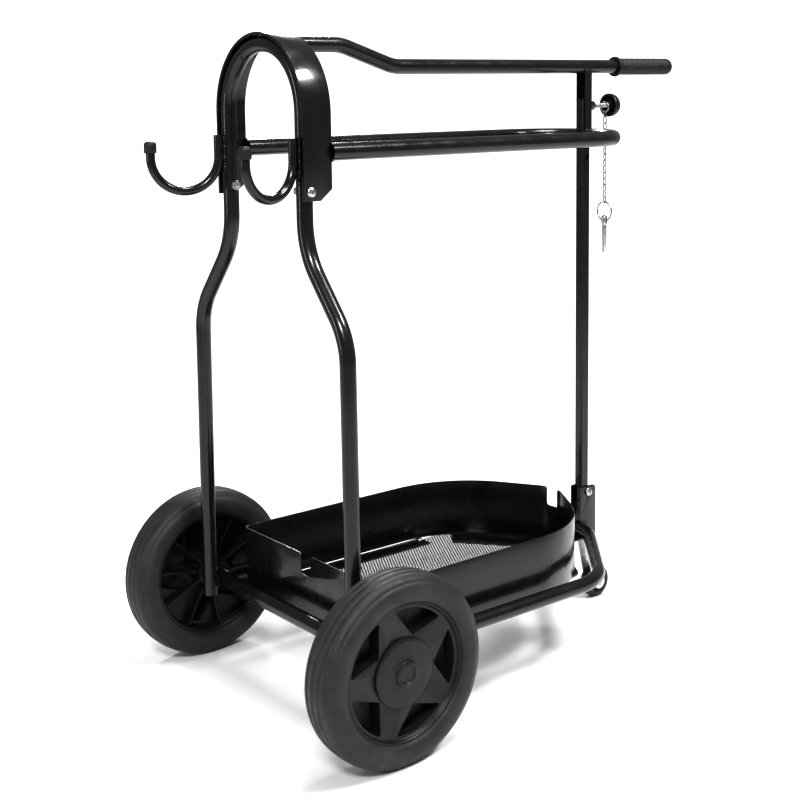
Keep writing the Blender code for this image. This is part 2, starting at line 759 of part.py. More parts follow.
def post():
    """A square tube that turns on the bracket's bolt and lies down in the tray's notches."""
    body = new_empty("post_fold", (PIVOT_X, 0, PIVOT_Z), CART)
    half = POST / 2
    square = loop_of(
        [
            ((POST_X - half, -half, 0), 0.002),
            ((POST_X + half, -half, 0), 0.002),
            ((POST_X + half, half, 0), 0.002),
            ((POST_X - half, half, 0), 0.002),
        ],
        radians(45),
    )
    middle = Matrix.Translation((0, 0, (POST_FOOT_Z + POST_TOP_Z) / 2))
    tube = keep(plate(square, POST_TOP_Z - POST_FOOT_Z, middle), "post", body, BLACK)
    hollow = half - 0.0015
    bore = box((POST_X - hollow, -hollow, 0.1), (POST_X + hollow, hollow, 1.0))
    combine(tube, keep_tool(bore, "post_hollow", body), "DIFFERENCE")
    ends = ((PIVOT_X, -0.03, PIVOT_Z), (PIVOT_X, 0.03, PIVOT_Z))
    combine(tube, hole_cutter("post_bolt_hole", body, BOLT / 2 + GAP, *ends), "DIFFERENCE")
    ends = ((POST_X, -0.03, PIN_HOLE_Z), (POST_X, 0.03, PIN_HOLE_Z))
    combine(tube, hole_cutter("post_pin_hole", body, PIN / 2 + 0.0005, *ends), "DIFFERENCE")
    plug_half = hollow - GAP
    top = POST_TOP_Z + GAP
    plug = box((POST_X - plug_half, -plug_half, top - 0.012), (POST_X + plug_half, plug_half, top + 0.0005))
    keep(plug, "post_plug", body, PLASTIC)
    lid = box((POST_X - half, -half, top), (POST_X + half, half, top + 0.0022))
    combine(plug, keep_tool(lid, "post_plug_lid", body), "UNION")


# ---- carrier ------------------------------------------------------------------------------------
def carrier():
    body = new_empty("carrier", (0, 0, FOLD_Z), CART)
    strap(body)
    centre = (RAIL_END_X - RAIL_HALF, 0, RAIL_Z)
    bend = half_circle(centre, RAIL_HALF, (0, 1, 0), (1, 0, 0), radians(10))
    start = STRAP_REAR_X + GAP
    path = [Vector((start, -RAIL_HALF, RAIL_Z))] + bend + [Vector((start, RAIL_HALF, RAIL_Z))]
    keep(pipe(path, RAIL, TUBE_WALL), "saddle_rail", body, BLACK)
    handle = rounded(
        [
            ((TUBE / 2 + 0.0015, 0, HANDLE_FRONT_Z), 0),
            ((0.1365, 0, HANDLE_FRONT_Z), 0.09),
            ((0.2365, 0, HANDLE_Z), 0.09),
            ((HANDLE_END_X, 0, HANDLE_Z), 0),
        ],
        radians(6),
    )
    keep(pipe(handle, TUBE, TUBE_WALL), "handle_tube", body, BLACK)
    grip(body)
    clamp_channel(body)
    return body


def strap(body):
    """A wide flat steel arch around the outside of the tube arch."""
    outer = half_circle((0, ARCH_Z, 0), STRAP_INNER + STRAP_SHEET, (1, 0, 0), (0, 1, 0), radians(10))
    inner = half_circle((0, ARCH_Z, 0), STRAP_INNER, (1, 0, 0), (0, 1, 0), radians(10))
    foot_out = STRAP_INNER + STRAP_SHEET
    outline = [Vector((-foot_out, STRAP_END_Z, 0))] + outer + [Vector((foot_out, STRAP_END_Z, 0))]
    outline += [Vector((STRAP_INNER, STRAP_END_Z, 0))] + inner[::-1] + [Vector((-STRAP_INNER, STRAP_END_Z, 0))]
    width = STRAP_REAR_X - STRAP_FRONT_X
    place = Matrix.Translation(((STRAP_FRONT_X + STRAP_REAR_X) / 2, 0, 0)) @ FACING_X
    arch = keep(plate(outline, width, place), "strap_arch", body, BLACK)
    corner = [Vector((0.0165, 0.760, 0)), Vector((0.0165, STRAP_END_Z, 0))]
    corner += [Vector((0.0375, 0.7855, 0)), Vector((0.045, 0.760, 0))]
    combine(arch, keep_tool(plate(corner, 0.26, FACING_Y), "strap_corner", body), "DIFFERENCE")
    ends = ((0, -0.13, FOLD_Z), (0, 0.13, FOLD_Z))
    combine(arch, hole_cutter("strap_bolt_hole", body, BOLT / 2 + GAP, *ends), "DIFFERENCE")


def grip(body):
    """A moulded sleeve closed at its end, with a collar at its front."""
    inner = TUBE / 2 + GAP
    length = GRIP_END_X - GRIP_FRONT_X
    profile = [
        (0.0, length),
        (0.0090, length - 0.001),
        (0.0132, length - 0.006),
        (0.0145, length - 0.012),
        (0.0145, 0.0060),
        (0.0176, 0.0040),
        (0.0176, 0.0),
        (inner, 0.0),
        (inner, HANDLE_END_X - GRIP_FRONT_X + GAP),
        (0.0, HANDLE_END_X - GRIP_FRONT_X + GAP),
    ]
    sleeve = turned(profile, (GRIP_FRONT_X, 0, HANDLE_Z), (1, 0, 0), 20)
    keep(sleeve, "handle_grip", body, RUBBER)


def clamp_channel(body):
    """An upright channel, open towards the front, that takes the post's top."""
    inside = POST / 2 + 0.0008
    outside = inside + CHANNEL_SHEET
    web = POST_X + POST / 2 + 0.0005
    rear = web + CHANNEL_WEB
    front = 0.6500
    section = [
        Vector((front, -outside, 0)),
        Vector((rear, -outside, 0)),
        Vector((rear, outside, 0)),
        Vector((front, outside, 0)),
        Vector((front, inside, 0)),
        Vector((web, inside, 0)),
        Vector((web, -inside, 0)),
        Vector((front, -inside, 0)),
    ]
    middle = Matrix.Translation((0, 0, (CHANNEL_END_Z + HANDLE_Z) / 2))
    channel = keep(plate(section, HANDLE_Z - CHANNEL_END_Z, middle), "clamp_channel", body, BLACK)
    ends = ((0.6, 0, HANDLE_Z), (0.72, 0, HANDLE_Z))
    cope = keep_tool(cylinder(TUBE / 2 + GAP, *ends, 24), "channel_cope", body)
    combine(channel, cope, "DIFFERENCE")
    ends = ((web - 0.003, 0, KNOB_Z), (rear + 0.003, 0, KNOB_Z))
    combine(channel, hole_cutter("channel_screw_hole", body, BOLT / 2 + GAP, *ends), "DIFFERENCE")
    start = Vector((rear + GAP, 0, KNOB_Z))
    nut = hex_ring(BOLT / 2 + GAP, 0.015, start, start + Vector((0.012, 0, 0)), body, "clamp_nut")
    nut.data.materials.clear()
    nut.data.materials.append(BLACK)


# ---- knob, chain and pin ------------------------------------------------------------------------
def knob(carrier_body):
    tip = POST_X + POST / 2 + GAP
    body = new_empty("knob", (KNOB_X, 0, KNOB_Z), carrier_body)
    screw_end = KNOB_X + 0.0140
    ends = ((tip, 0, KNOB_Z), (screw_end, 0, KNOB_Z))
    keep(cylinder(BOLT / 2, *ends, 16), "knob_screw", body, STEEL)
    bore = BOLT / 2 + GAP
    profile = [
        (0.0, 0.0210),
        (0.0085, 0.0200),
        (0.0155, 0.0165),
        (0.0195, 0.0105),
        (KNOB_RADIUS, 0.0050),
        (KNOB_RADIUS, 0.0005),
        (0.0190, 0.0),
        (0.0172, 0.0008),
        (0.0160, 0.0090),
        (0.0085, 0.0120),
        (0.0070, 0.0),
        (bore, 0.0),
        (bore, 0.0140 + GAP),
        (0.0, 0.0140 + GAP),
    ]
    keep(turned(profile, body["place"], (1, 0, 0), 20), "knob_head", body, PLASTIC)


def chain(carrier_body):
    """A ring on the knob's screw, and the links that hang from it."""
    body = new_empty("chain", (CHAIN_X, 0, KNOB_Z), carrier_body)
    drop = CHAIN_RING_RADIUS - CHAIN_RING_WIRE / 2 - BOLT / 2 - 0.0002
    centre = Vector((CHAIN_X, 0, KNOB_Z - drop))
    circle = [
        centre + CHAIN_RING_RADIUS * Vector((0, sin(2 * pi * i / 20), cos(2 * pi * i / 20)))
        for i in range(20)
    ]
    keep(rod(circle, CHAIN_RING_WIRE, 1, closed=True), "chain_ring", body, ZINC)
    wire = CHAIN_WIRE / 2
    bottom = centre.z - CHAIN_RING_RADIUS
    top = bottom + CHAIN_RING_WIRE / 2 + wire + GAP
    pitch = LINK_LENGTH - 4 * wire + 0.0004
    for i in range(LINK_COUNT):
        middle = top + wire - LINK_LENGTH / 2 - i * pitch
        across = Vector((0, 1, 0)) if i % 2 else Vector((1, 0, 0))
        link = rod(link_path(middle, across), CHAIN_WIRE, 0, closed=True)
        if i == 0:
            first = keep(link, "pin_chain", body, ZINC)
        else:
            combine(first, keep_tool(link, f"link_{i}", body), "UNION")
    return body, top + wire - LINK_LENGTH - (LINK_COUNT - 1) * pitch + wire


def link_path(middle, across):
    """The oval centre line of one chain link."""
    radius = (LINK_WIDTH - CHAIN_WIRE) / 2
    run = (LINK_LENGTH - CHAIN_WIRE) / 2 - radius
    centre = Vector((CHAIN_X, 0, middle))
    points = half_circle(centre + Vector((0, 0, run)), radius, across, (0, 0, 1), radians(45))
    return points + half_circle(centre - Vector((0, 0, run)), radius, -across, (0, 0, -1), radians(45))


def lock_pin(chain_body, link_wire_z):
    """The plain pin that hangs from the chain on a ring."""
    ring_top = link_wire_z + CHAIN_WIRE / 2 + PIN_RING_WIRE / 2 + GAP
    body = new_empty("pin", (CHAIN_X, 0, ring_top), chain_body)
    centre = Vector((CHAIN_X, 0, ring_top - PIN_RING_RADIUS))
    circle = [
        centre + PIN_RING_RADIUS * Vector((0, sin(2 * pi * i / 24), cos(2 * pi * i / 24)))
        for i in range(24)
    ]
    keep(rod(circle, PIN_RING_WIRE, 1, closed=True), "pin_ring", body, ZINC)
    hole_z = centre.z - PIN_RING_RADIUS + 0.0005
    pin_top = hole_z + 0.0099
    height = pin_top - PIN_END_Z
    profile = [
        (0.0, height),
        (0.0040, height - 0.0006),
        (0.0052, height - 0.0022),
        (0.0052, height - 0.0165),
        (PIN / 2, height - 0.0180),
        (PIN / 2, 0.0020),
        (0.0022, 0.0),
        (0.0, 0.0),
    ]
    pin = keep(turned(profile, (CHAIN_X, 0, PIN_END_Z), (0, 0, 1), 16), "lock_pin", body, ZINC)
    ends = ((CHAIN_X, -0.012, hole_z), (CHAIN_X, 0.012, hole_z))
    combine(pin, hole_cutter("pin_eye", body, 0.0026, *ends), "DIFFERENCE")


clear_scene()
PARTS = new_collection("saddle_cart")
TOOLS = new_collection("tools")
BLACK = new_material("black powder coat", (0.012, 0.012, 0.013), 0.28)
STEEL = new_material("zinc plated steel", (0.62, 0.63, 0.64), 0.32, 1.0)
ZINC = new_material("bright zinc", (0.70, 0.71, 0.72), 0.28, 1.0)
TYRE = new_material("grey black tyre", (0.055, 0.056, 0.058), 0.62)
RUBBER = new_material("black rubber", (0.018, 0.018, 0.019), 0.60)
PLASTIC = new_material("black plastic", (0.022, 0.022, 0.023), 0.45)
NYLON = new_material("natural nylon", (0.70, 0.69, 0.64), 0.50)

CART = new_empty("cart", (0, 0, 0))
CART.location.x = CART_SHIFT_X
CART.location.z = CART_SHIFT_Z
front_frame()
hooks()
fold_bolts()
axle()
for SIDE, SIGN in SIDE_NAMES.items():
    wheel(SIDE, SIGN)
base()
tray()
rear_bracket()
roller_fork()
post()
CARRIER = carrier()
knob(CARRIER)
CHAIN, LAST_LINK_Z = chain(CARRIER)
lock_pin(CHAIN, LAST_LINK_Z)
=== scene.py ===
"""Looks of the folding saddle cart.

Shapes are drawn in metres in the cart's own frame: X = 0 is the plane of the front legs, and the floor is
RAISE below Z = 0. show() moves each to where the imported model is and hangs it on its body."""

from math import ceil, cos, pi, radians, sin, sqrt, tan

import bmesh
import bpy
from mathutils import Matrix, Vector


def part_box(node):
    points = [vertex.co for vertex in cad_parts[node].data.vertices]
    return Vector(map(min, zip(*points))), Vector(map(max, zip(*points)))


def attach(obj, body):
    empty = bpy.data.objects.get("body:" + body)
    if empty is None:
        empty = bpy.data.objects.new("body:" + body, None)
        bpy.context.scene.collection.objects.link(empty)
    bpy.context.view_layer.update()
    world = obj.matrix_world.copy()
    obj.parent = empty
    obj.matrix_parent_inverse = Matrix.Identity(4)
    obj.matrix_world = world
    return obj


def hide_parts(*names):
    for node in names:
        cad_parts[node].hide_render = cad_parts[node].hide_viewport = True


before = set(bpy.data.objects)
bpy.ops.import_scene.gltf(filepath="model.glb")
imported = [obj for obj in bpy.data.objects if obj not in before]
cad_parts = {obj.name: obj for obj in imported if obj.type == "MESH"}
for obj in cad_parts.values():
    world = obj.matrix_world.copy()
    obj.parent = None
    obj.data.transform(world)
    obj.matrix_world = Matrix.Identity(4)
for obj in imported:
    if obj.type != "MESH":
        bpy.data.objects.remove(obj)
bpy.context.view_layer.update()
SCENE = bpy.context.scene


def middle(node):
    low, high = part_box(node)
    return (Vector(low) + Vector(high)) / 2


# ---- sizes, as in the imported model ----
GAP = 0.0003
TUBE, TUBE_WALL, RAIL, POST, BOLT = 0.0235, 0.0015, 0.0255, 0.0175, 0.008
FOOT_HALF, KNEE_HALF, NECK_HALF = 0.1985, 0.194, 0.098
FOOT_Z, KNEE_Z, NECK_Z, ARCH_Z = 0.110, 0.583, 0.697, 0.891
AXLE_TUBE, AXLE_ROD, AXLE_Z = 0.025, 0.012, 0.130
AXLE_X = (TUBE + AXLE_TUBE) / 2 + GAP
SHIFT = middle("wheel_axle").x - AXLE_X
RAISE = middle("wheel_axle").z - AXLE_Z
WHEEL_RADIUS, WHEEL_WIDTH, WHEEL_HALF, HUB_RADIUS = 0.138, 0.066, 0.2574, 0.0985
BASE_HALF, BASE_CORNER_X, BASE_TIP_X = 0.208, 0.486, 0.669
TRAY_FRONT_X, TRAY_HALF, TRAY_CORNER_X, TRAY_TIP_X = 0.0535, 0.180, 0.485, 0.5934
TRAY_TOP, SHEET, SUPPORT, NOTCH_WIDTH, NOTCH_Z = 0.2165, 0.0015, 0.003, 0.026, 0.183
FLOOR_Z = AXLE_Z - TUBE / 2
SCREW_X, SCREW_Y, SCREW_HEAD = 0.405, 0.158, 0.0062
HOLE_PITCH, HOLE_RADIUS, HOLE_ROWS, HOLE_REACH = 0.0055, 0.00225, 33, 0.54
POST_X, PIVOT_X, PIVOT_Z, POST_FOOT_Z, POST_TOP_Z, PIN_HOLE_Z = 0.6555, 0.661, 0.1965, 0.172, 0.898, 0.800
EAR_SHEET, ROLLER_RADIUS, ROLLER_WIDTH, ROLLER_X = 0.0025, 0.029, 0.020, 0.690
ROLLER_Z = ROLLER_RADIUS - RAISE
FOLD_Z, STRAP_SHEET, STRAP_FRONT_X, STRAP_REAR_X, STRAP_END_Z = 0.7815, 0.0045, -0.0118, 0.0362, 0.7685
STRAP_INNER = NECK_HALF + TUBE / 2 + 0.0005
RAIL_HALF, RAIL_Z, RAIL_END_X = 0.110, 0.836, 0.6806
HANDLE_Z, HANDLE_END_X, GRIP_FRONT_X, GRIP_END_X = 0.9565, 0.8725, 0.733, 0.8786
CHANNEL_END_Z, CHANNEL_SHEET, CHANNEL_WEB = 0.8165, 0.0015, 0.0022
HOOK_ROD, HOOK_X, HOOK_Y, HOOK_TOP_Z, HOOK_RADIUS = 0.0135, -0.0189, 0.100, 0.857, 0.0508
HOOK_SPLAY = radians(17.7)
KNOB_Z, KNOB_X, KNOB_RADIUS = 0.889, 0.7175, 0.0205
CHAIN_X, CHAIN_WIRE, LINK_LENGTH, LINK_WIDTH, LINK_COUNT = 0.711, 0.0022, 0.0149, 0.0078, 15
CHAIN_RING_RADIUS, CHAIN_RING_WIRE = 0.0085, 0.0024
PIN_RING_RADIUS, PIN_RING_WIRE, PIN, PIN_END_Z = 0.017, 0.003, 0.008, 0.627
SIDES = {"left": 1, "right": -1}
STAGE_RADIUS = 5.0


# ---- materials ----
class Look:
    """A Principled material whose colour, roughness and bump come from procedural patterns."""

    def __init__(self, name, metallic=0.0, **sockets):
        self.material = bpy.data.materials.new(name)
        self.material.use_nodes = True
        self.tree = self.material.node_tree
        self.shader = self.tree.nodes["Principled BSDF"]
        self.shader.inputs["Metallic"].default_value = metallic
        for socket, value in sockets.items():
            self.shader.inputs[socket.replace("_", " ")].default_value = value
        self.coords = self.tree.nodes.new("ShaderNodeTexCoord")

    def pattern(self, kind, scale, stretch=(1, 1, 1), output=0, **inputs):
        place = self.tree.nodes.new("ShaderNodeMapping")
        place.inputs["Scale"].default_value = stretch
        self.tree.links.new(self.coords.outputs["Object"], place.inputs["Vector"])
        node = self.tree.nodes.new(f"ShaderNodeTex{kind}")
        self.tree.links.new(place.outputs["Vector"], node.inputs["Vector"])
        if "Scale" in node.inputs:
            node.inputs["Scale"].default_value = scale
        for socket, value in inputs.items():
            node.inputs[socket].default_value = value
        return node.outputs[output]

    def noise(self, scale, detail=3.0, stretch=(1, 1, 1), rough=0.5):
        return self.pattern("Noise", scale, stretch, Detail=detail, Roughness=rough)

    def colour(self, value, dark, light, spread=(0.3, 0.7)):
        ramp = self.tree.nodes.new("ShaderNodeValToRGB")
        self.tree.links.new(value, ramp.inputs["Fac"])
        for slot, place, tone in zip(ramp.color_ramp.elements, spread, (dark, light)):
            slot.position = place
            slot.color = (*tone, 1.0)
        self.tree.links.new(ramp.outputs["Color"], self.shader.inputs["Base Color"])
        return self

    def roughness(self, value, low, high):
        spread = self.tree.nodes.new("ShaderNodeMapRange")
        spread.inputs["From Min"].default_value = 0.3
        spread.inputs["From Max"].default_value = 0.7
        spread.inputs["To Min"].default_value = low
        spread.inputs["To Max"].default_value = high
        self.tree.links.new(value, spread.inputs["Value"])
        self.tree.links.new(spread.outputs["Result"], self.shader.inputs["Roughness"])
        return self

    def bump(self, value, distance, strength=1.0):
        node = self.tree.nodes.new("ShaderNodeBump")
        node.inputs["Strength"].default_value = strength
        node.inputs["Distance"].default_value = distance
        self.tree.links.new(value, node.inputs["Height"])
        before = self.shader.inputs["Normal"]
        if before.is_linked:
            self.tree.links.new(before.links[0].from_socket, node.inputs["Normal"])
        self.tree.links.new(node.outputs["Normal"], before)
        return self


def make_looks():
    coat = Look("black_powder_coat", Coat_Weight=0.25, Coat_Roughness=0.05, Specular_IOR_Level=0.4)
    coat.colour(coat.noise(11, 4), (0.0065, 0.0065, 0.0068), (0.0115, 0.0115, 0.0120))
    coat.roughness(coat.noise(48, 4), 0.17, 0.30)
    coat.bump(coat.noise(60, 2), 0.0004, 0.12).bump(coat.noise(430, 2), 0.00010, 0.28)

    bead = Look("painted_weld", Coat_Weight=0.3, Coat_Roughness=0.10)
    bead.colour(bead.noise(60, 3), (0.0065, 0.0065, 0.0068), (0.0120, 0.0118, 0.0120))
    bead.roughness(bead.noise(300, 3), 0.20, 0.38)
    bead.bump(bead.noise(700, 3), 0.0003, 0.6)

    zinc = Look("zinc_plated_steel", 1.0)
    zinc.colour(zinc.noise(160, 4), (0.36, 0.37, 0.38), (0.54, 0.55, 0.57))
    zinc.roughness(zinc.noise(420, 4), 0.20, 0.38)
    zinc.bump(zinc.noise(1400, 3), 0.00005, 0.4)

    wire = Look("bright_zinc_wire", 1.0)
    wire.colour(wire.noise(300, 3), (0.30, 0.30, 0.31), (0.48, 0.49, 0.50))
    wire.roughness(wire.noise(600, 3), 0.18, 0.34)
    wire.bump(wire.noise(2000, 2), 0.00004, 0.4)

    galvanised = Look("galvanised_sheet", 0.85)
    cells = galvanised.pattern("Voronoi", 210, output=1)
    grey = galvanised.tree.nodes.new("ShaderNodeRGBToBW")
    galvanised.tree.links.new(cells, grey.inputs["Color"])
    galvanised.colour(grey.outputs["Val"], (0.46, 0.47, 0.48), (0.66, 0.67, 0.69), (0.2, 0.8))
    galvanised.roughness(galvanised.noise(260, 4), 0.30, 0.50)
    galvanised.bump(galvanised.noise(900, 3), 0.00006, 0.4)

    tyre = Look("grey_black_tyre", Specular_IOR_Level=0.35)
    tyre.colour(tyre.noise(22, 5, rough=0.6), (0.019, 0.0195, 0.020), (0.034, 0.0345, 0.0352))
    tyre.roughness(tyre.noise(75, 5), 0.42, 0.62)
    tyre.bump(tyre.noise(34, 3), 0.0007, 0.30).bump(tyre.noise(1100, 2), 0.00009, 0.5)

    rubber = Look("black_rubber", Specular_IOR_Level=0.4)
    rubber.colour(rubber.noise(40, 4), (0.010, 0.010, 0.0105), (0.018, 0.018, 0.0185))
    rubber.roughness(rubber.noise(120, 4), 0.42, 0.60)
    rubber.bump(rubber.noise(1500, 2), 0.00008, 0.6)

    plastic = Look("moulded_black_plastic", Specular_IOR_Level=0.35)
    plastic.colour(plastic.noise(30, 4), (0.0105, 0.0105, 0.011), (0.0170, 0.0172, 0.0178))
    plastic.roughness(plastic.noise(90, 4), 0.30, 0.44)
    plastic.bump(plastic.pattern("Voronoi", 900), 0.00006, 0.5).bump(plastic.noise(45, 2), 0.0005, 0.15)

    nylon = Look("natural_nylon", Subsurface_Weight=0.05)
    nylon.colour(nylon.noise(60, 3), (0.62, 0.61, 0.56), (0.72, 0.71, 0.66))
    nylon.roughness(nylon.noise(150, 3), 0.38, 0.55)
    nylon.bump(nylon.noise(900, 2), 0.00006, 0.4)

    floor = Look("pale_floor", Specular_IOR_Level=0.2)
    floor.colour(floor.noise(1.3, 3), (0.83, 0.83, 0.835), (0.86, 0.86, 0.865))
    floor.roughness(floor.noise(3, 3), 0.55, 0.70)
    reach = floor.pattern("Gradient", 1.0, [1 / STAGE_RADIUS] * 3)
    reach.node.gradient_type = "SPHERICAL"
    fade = floor.tree.nodes.new("ShaderNodeMapRange")
    fade.interpolation_type = "SMOOTHSTEP"
    fade.inputs["From Min"].default_value = 0.15
    fade.inputs["From Max"].default_value = 0.60
    floor.tree.links.new(reach, fade.inputs["Value"])
    floor.tree.links.new(fade.outputs["Result"], floor.shader.inputs["Alpha"])
    looks = (coat, bead, zinc, wire, galvanised, tyre, rubber, plastic, nylon, floor)
    return [look.material for look in looks]


COAT, BEAD, ZINC, WIRE, GALVANISED, TYRE, RUBBER, PLASTIC, NYLON, FLOOR = make_looks()


# ---- making meshes ----
def baked(obj):
    """The object's evaluated mesh, with nothing left to evaluate."""
    SCENE.collection.objects.link(obj)
    bpy.context.view_layer.update()
    mesh = bpy.data.meshes.new_from_object(obj.evaluated_get(bpy.context.evaluated_depsgraph_get()))
    bpy.data.objects.remove(obj)
    return bpy.data.objects.new("shape", mesh)


def tidied(obj, distance=0.00001):
    shape = bmesh.new()
    shape.from_mesh(obj.data)
    bmesh.ops.remove_doubles(shape, verts=shape.verts, dist=distance)
    bmesh.ops.recalc_face_normals(shape, faces=shape.faces)
    shape.to_mesh(obj.data)
    shape.free()
    return obj


def combined(obj, tool, operation="DIFFERENCE"):
    SCENE.collection.objects.link(tool)
    modifier = obj.modifiers.new("combine", "BOOLEAN")
    modifier.operation = operation
    modifier.solver = "EXACT"
    modifier.object = tool
    made = baked(obj)
    bpy.data.objects.remove(tool)
    return made


def softened(obj, width, segments=2, angle=32):
    """Edges sharper than the angle, in degrees, get a small round."""
    tidied(obj, 0.00002)
    modifier = obj.modifiers.new("soften", "BEVEL")
    modifier.width = width
    modifier.segments = segments
    modifier.limit_method = "ANGLE"
    modifier.angle_limit = radians(angle)
    modifier.use_clamp_overlap = True
    return baked(obj)


def joined(shapes):
    """Several shapes in one mesh, not cut into each other."""
    whole = bmesh.new()
    for obj in shapes:
        whole.from_mesh(obj.data)
    mesh = bpy.data.meshes.new("joined")
    whole.to_mesh(mesh)
    whole.free()
    for obj in shapes:
        bpy.data.objects.remove(obj)
    return bpy.data.objects.new("joined", mesh)


def show(obj, name, body, material, *nodes, sharp=35):
    """The finished piece: in the model's place, on its body, standing for its CAD nodes."""
    obj.name = name
    obj.data.name = name
    obj.data.transform(Matrix.Translation((SHIFT, 0, RAISE)))
    obj.data.materials.clear()
    obj.data.materials.append(material)
    obj.data.shade_smooth()
    obj.data.set_sharp_from_angle(angle=radians(sharp))
    SCENE.collection.objects.link(obj)
    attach(obj, body)
    if nodes:
        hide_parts(*nodes)
    return obj


# ---- paths ----
def arc_at(corner, before, after, radius, step):
    turn = pi - before.angle(after)
    centre = corner + (before + after).normalized() * radius / cos(turn / 2)
    first = corner + before * radius * tan(turn / 2) - centre
    axis = (-before).cross(after).normalized()
    count = max(2, round(turn / step))
    return [centre + Matrix.Rotation(turn * i / count, 3, axis) @ first for i in range(count + 1)]


def rounded(corners, step=radians(4), closed=False):
    """Points along straight runs, with each corner (point, radius) turned into an arc."""
    count = len(corners)
    points = []
    for i, (corner, radius) in enumerate(corners):
        corner = Vector(corner)
        if radius == 0 or (not closed and i in (0, count - 1)):
            points.append(corner)
            continue
        before = (Vector(corners[i - 1][0]) - corner).normalized()
        after = (Vector(corners[(i + 1) % count][0]) - corner).normalized()
        points += arc_at(corner, before, after, radius, step)
    return points


def half_circle(centre, radius, across, up, step=radians(4)):
    """Points from -across over up to +across."""
    count = round(pi / step)
    angles = [pi * i / count for i in range(count + 1)]
    return [Vector(centre) + radius * (-cos(a) * Vector(across) + sin(a) * Vector(up)) for a in angles]


def circle(centre, radius, across, up, count):
    angles = [2 * pi * i / count for i in range(count)]
    return [Vector(centre) + radius * (sin(a) * Vector(across) + cos(a) * Vector(up)) for a in angles]


# ---- shapes ----
def rod(points, diameter, bevel=14, closed=False, caps=True, swell=None):
    data = bpy.data.curves.new("rod", "CURVE")
    data.dimensions = "3D"
    data.bevel_depth = diameter / 2
    data.bevel_resolution = bevel
    data.use_fill_caps = caps
    spline = data.splines.new("POLY")
    spline.points.add(len(points) - 1)
    for i, (slot, point) in enumerate(zip(spline.points, points)):
        slot.co = (*point, 1.0)
        if swell:
            slot.radius = swell(i)
    spline.use_cyclic_u = closed
    return tidied(baked(bpy.data.objects.new("rod", data)))


def pipe(points, diameter, wall, bevel=14):
    """A hollow tube, open at both ends."""
    obj = rod(points, diameter, bevel, caps=False)
    shell = obj.modifiers.new("wall", "SOLIDIFY")
    shell.thickness = wall
    shell.offset = -1.0
    return baked(obj)


def plate(outline, thickness, place):
    """A flat outline in local XY, given its thickness along local Z, then moved by place."""
    data = bpy.data.curves.new("plate", "CURVE")
    data.dimensions = "2D"
    data.fill_mode = "BOTH"
    data.extrude = thickness / 2
    spline = data.splines.new("POLY")
    spline.points.add(len(outline) - 1)
    for slot, point in zip(spline.points, outline):
        slot.co = (point[0], point[1], 0.0, 1.0)
    spline.use_cyclic_u = True
    obj = tidied(baked(bpy.data.objects.new("plate", data)))
    obj.data.transform(place)
    return obj


def aimed(centre, direction):
    """Local Z turned to a direction, at a centre."""
    turn = Vector((0, 0, 1)).rotation_difference(Vector(direction)).to_matrix().to_4x4()
    return Matrix.Translation(centre) @ turn


def turned(profile, centre, direction, steps=64, closed=False, round_off=0.0):
    """A turned shape: profile is (radius, height) from the top down its outer side."""
    mesh = bpy.data.meshes.new("turned")
    count = len(profile)
    edges = [(i, i + 1) for i in range(count - 1)] + ([(count - 1, 0)] if closed else [])
    mesh.from_pydata([(r, 0.0, z) for r, z in profile], edges, [])
    obj = bpy.data.objects.new("turned", mesh)
    screw = obj.modifiers.new("turn", "SCREW")
    screw.steps = steps
    screw.render_steps = steps
    screw.use_merge_vertices = True
    screw.merge_threshold = 0.00001
    obj = tidied(baked(obj))
    if round_off:
        obj = softened(obj, round_off, 2, 25)
    obj.data.transform(aimed(centre, direction))
    return obj


def cylinder(radius, start, end, segments=32):
    start, end = Vector(start), Vector(end)
    mesh = bpy.data.meshes.new("cylinder")
    shape = bmesh.new()
    place = aimed((start + end) / 2, end - start)
    depth = (end - start).length
    bmesh.ops.create_cone(
        shape, cap_ends=True, segments=segments, radius1=radius, radius2=radius, depth=depth, matrix=place
    )
    shape.to_mesh(mesh)
    shape.free()
    return bpy.data.objects.new("cylinder", mesh)


def box(low, high, place=None):
    low, high = Vector(low), Vector(high)
    mesh = bpy.data.meshes.new("box")
    shape = bmesh.new()
    scale = Matrix.Diagonal((*(high - low), 1.0))
    bmesh.ops.create_cube(shape, size=1.0, matrix=Matrix.Translation((low + high) / 2) @ scale)
    shape.to_mesh(mesh)
    shape.free()
    if place:
        mesh.transform(place)
    return bpy.data.objects.new("box", mesh)


def ring(inner, outer, low, high, centre, direction, steps=48, round_off=0.0003):
    profile = [(inner, high), (outer, high), (outer, low), (inner, low)]
    return turned(profile, centre, direction, steps, closed=True, round_off=round_off)


def hex_ring(inner, across_flats, start, end):
    """A hexagonal nut with turned-down corners and a plain bore."""
    start, end = Vector(start), Vector(end)
    flat, corner = across_flats / 2, across_flats / 2 / cos(pi / 6)
    length = (end - start).length
    cut = (corner - flat) * 0.6
    barrel = [(0.0, length), (flat + 0.0001, length), (corner + 0.0004, length - cut)]
    barrel += [(corner + 0.0004, cut), (flat + 0.0001, 0.0), (0.0, 0.0)]
    nut = cylinder(corner, start, end, 6)
    nut = combined(nut, turned(barrel, start, end - start, 48), "INTERSECT")
    margin = (end - start).normalized() * 0.002
    nut = combined(nut, cylinder(inner, start - margin, end + margin, 32))
    return softened(nut, 0.00018, 2)


def threaded(radius, pitch, bottom, top, centre, direction):
    """A bar with turned thread ridges between two heights."""
    profile = [(0.0, top)]
    height = top
    while height - pitch > bottom:
        profile += [(radius * 0.89, height), (radius, height - pitch / 2)]
        height -= pitch
    profile += [(radius * 0.89, height), (radius * 0.8, bottom), (0.0, bottom)]
    return turned(profile, centre, direction, 32)


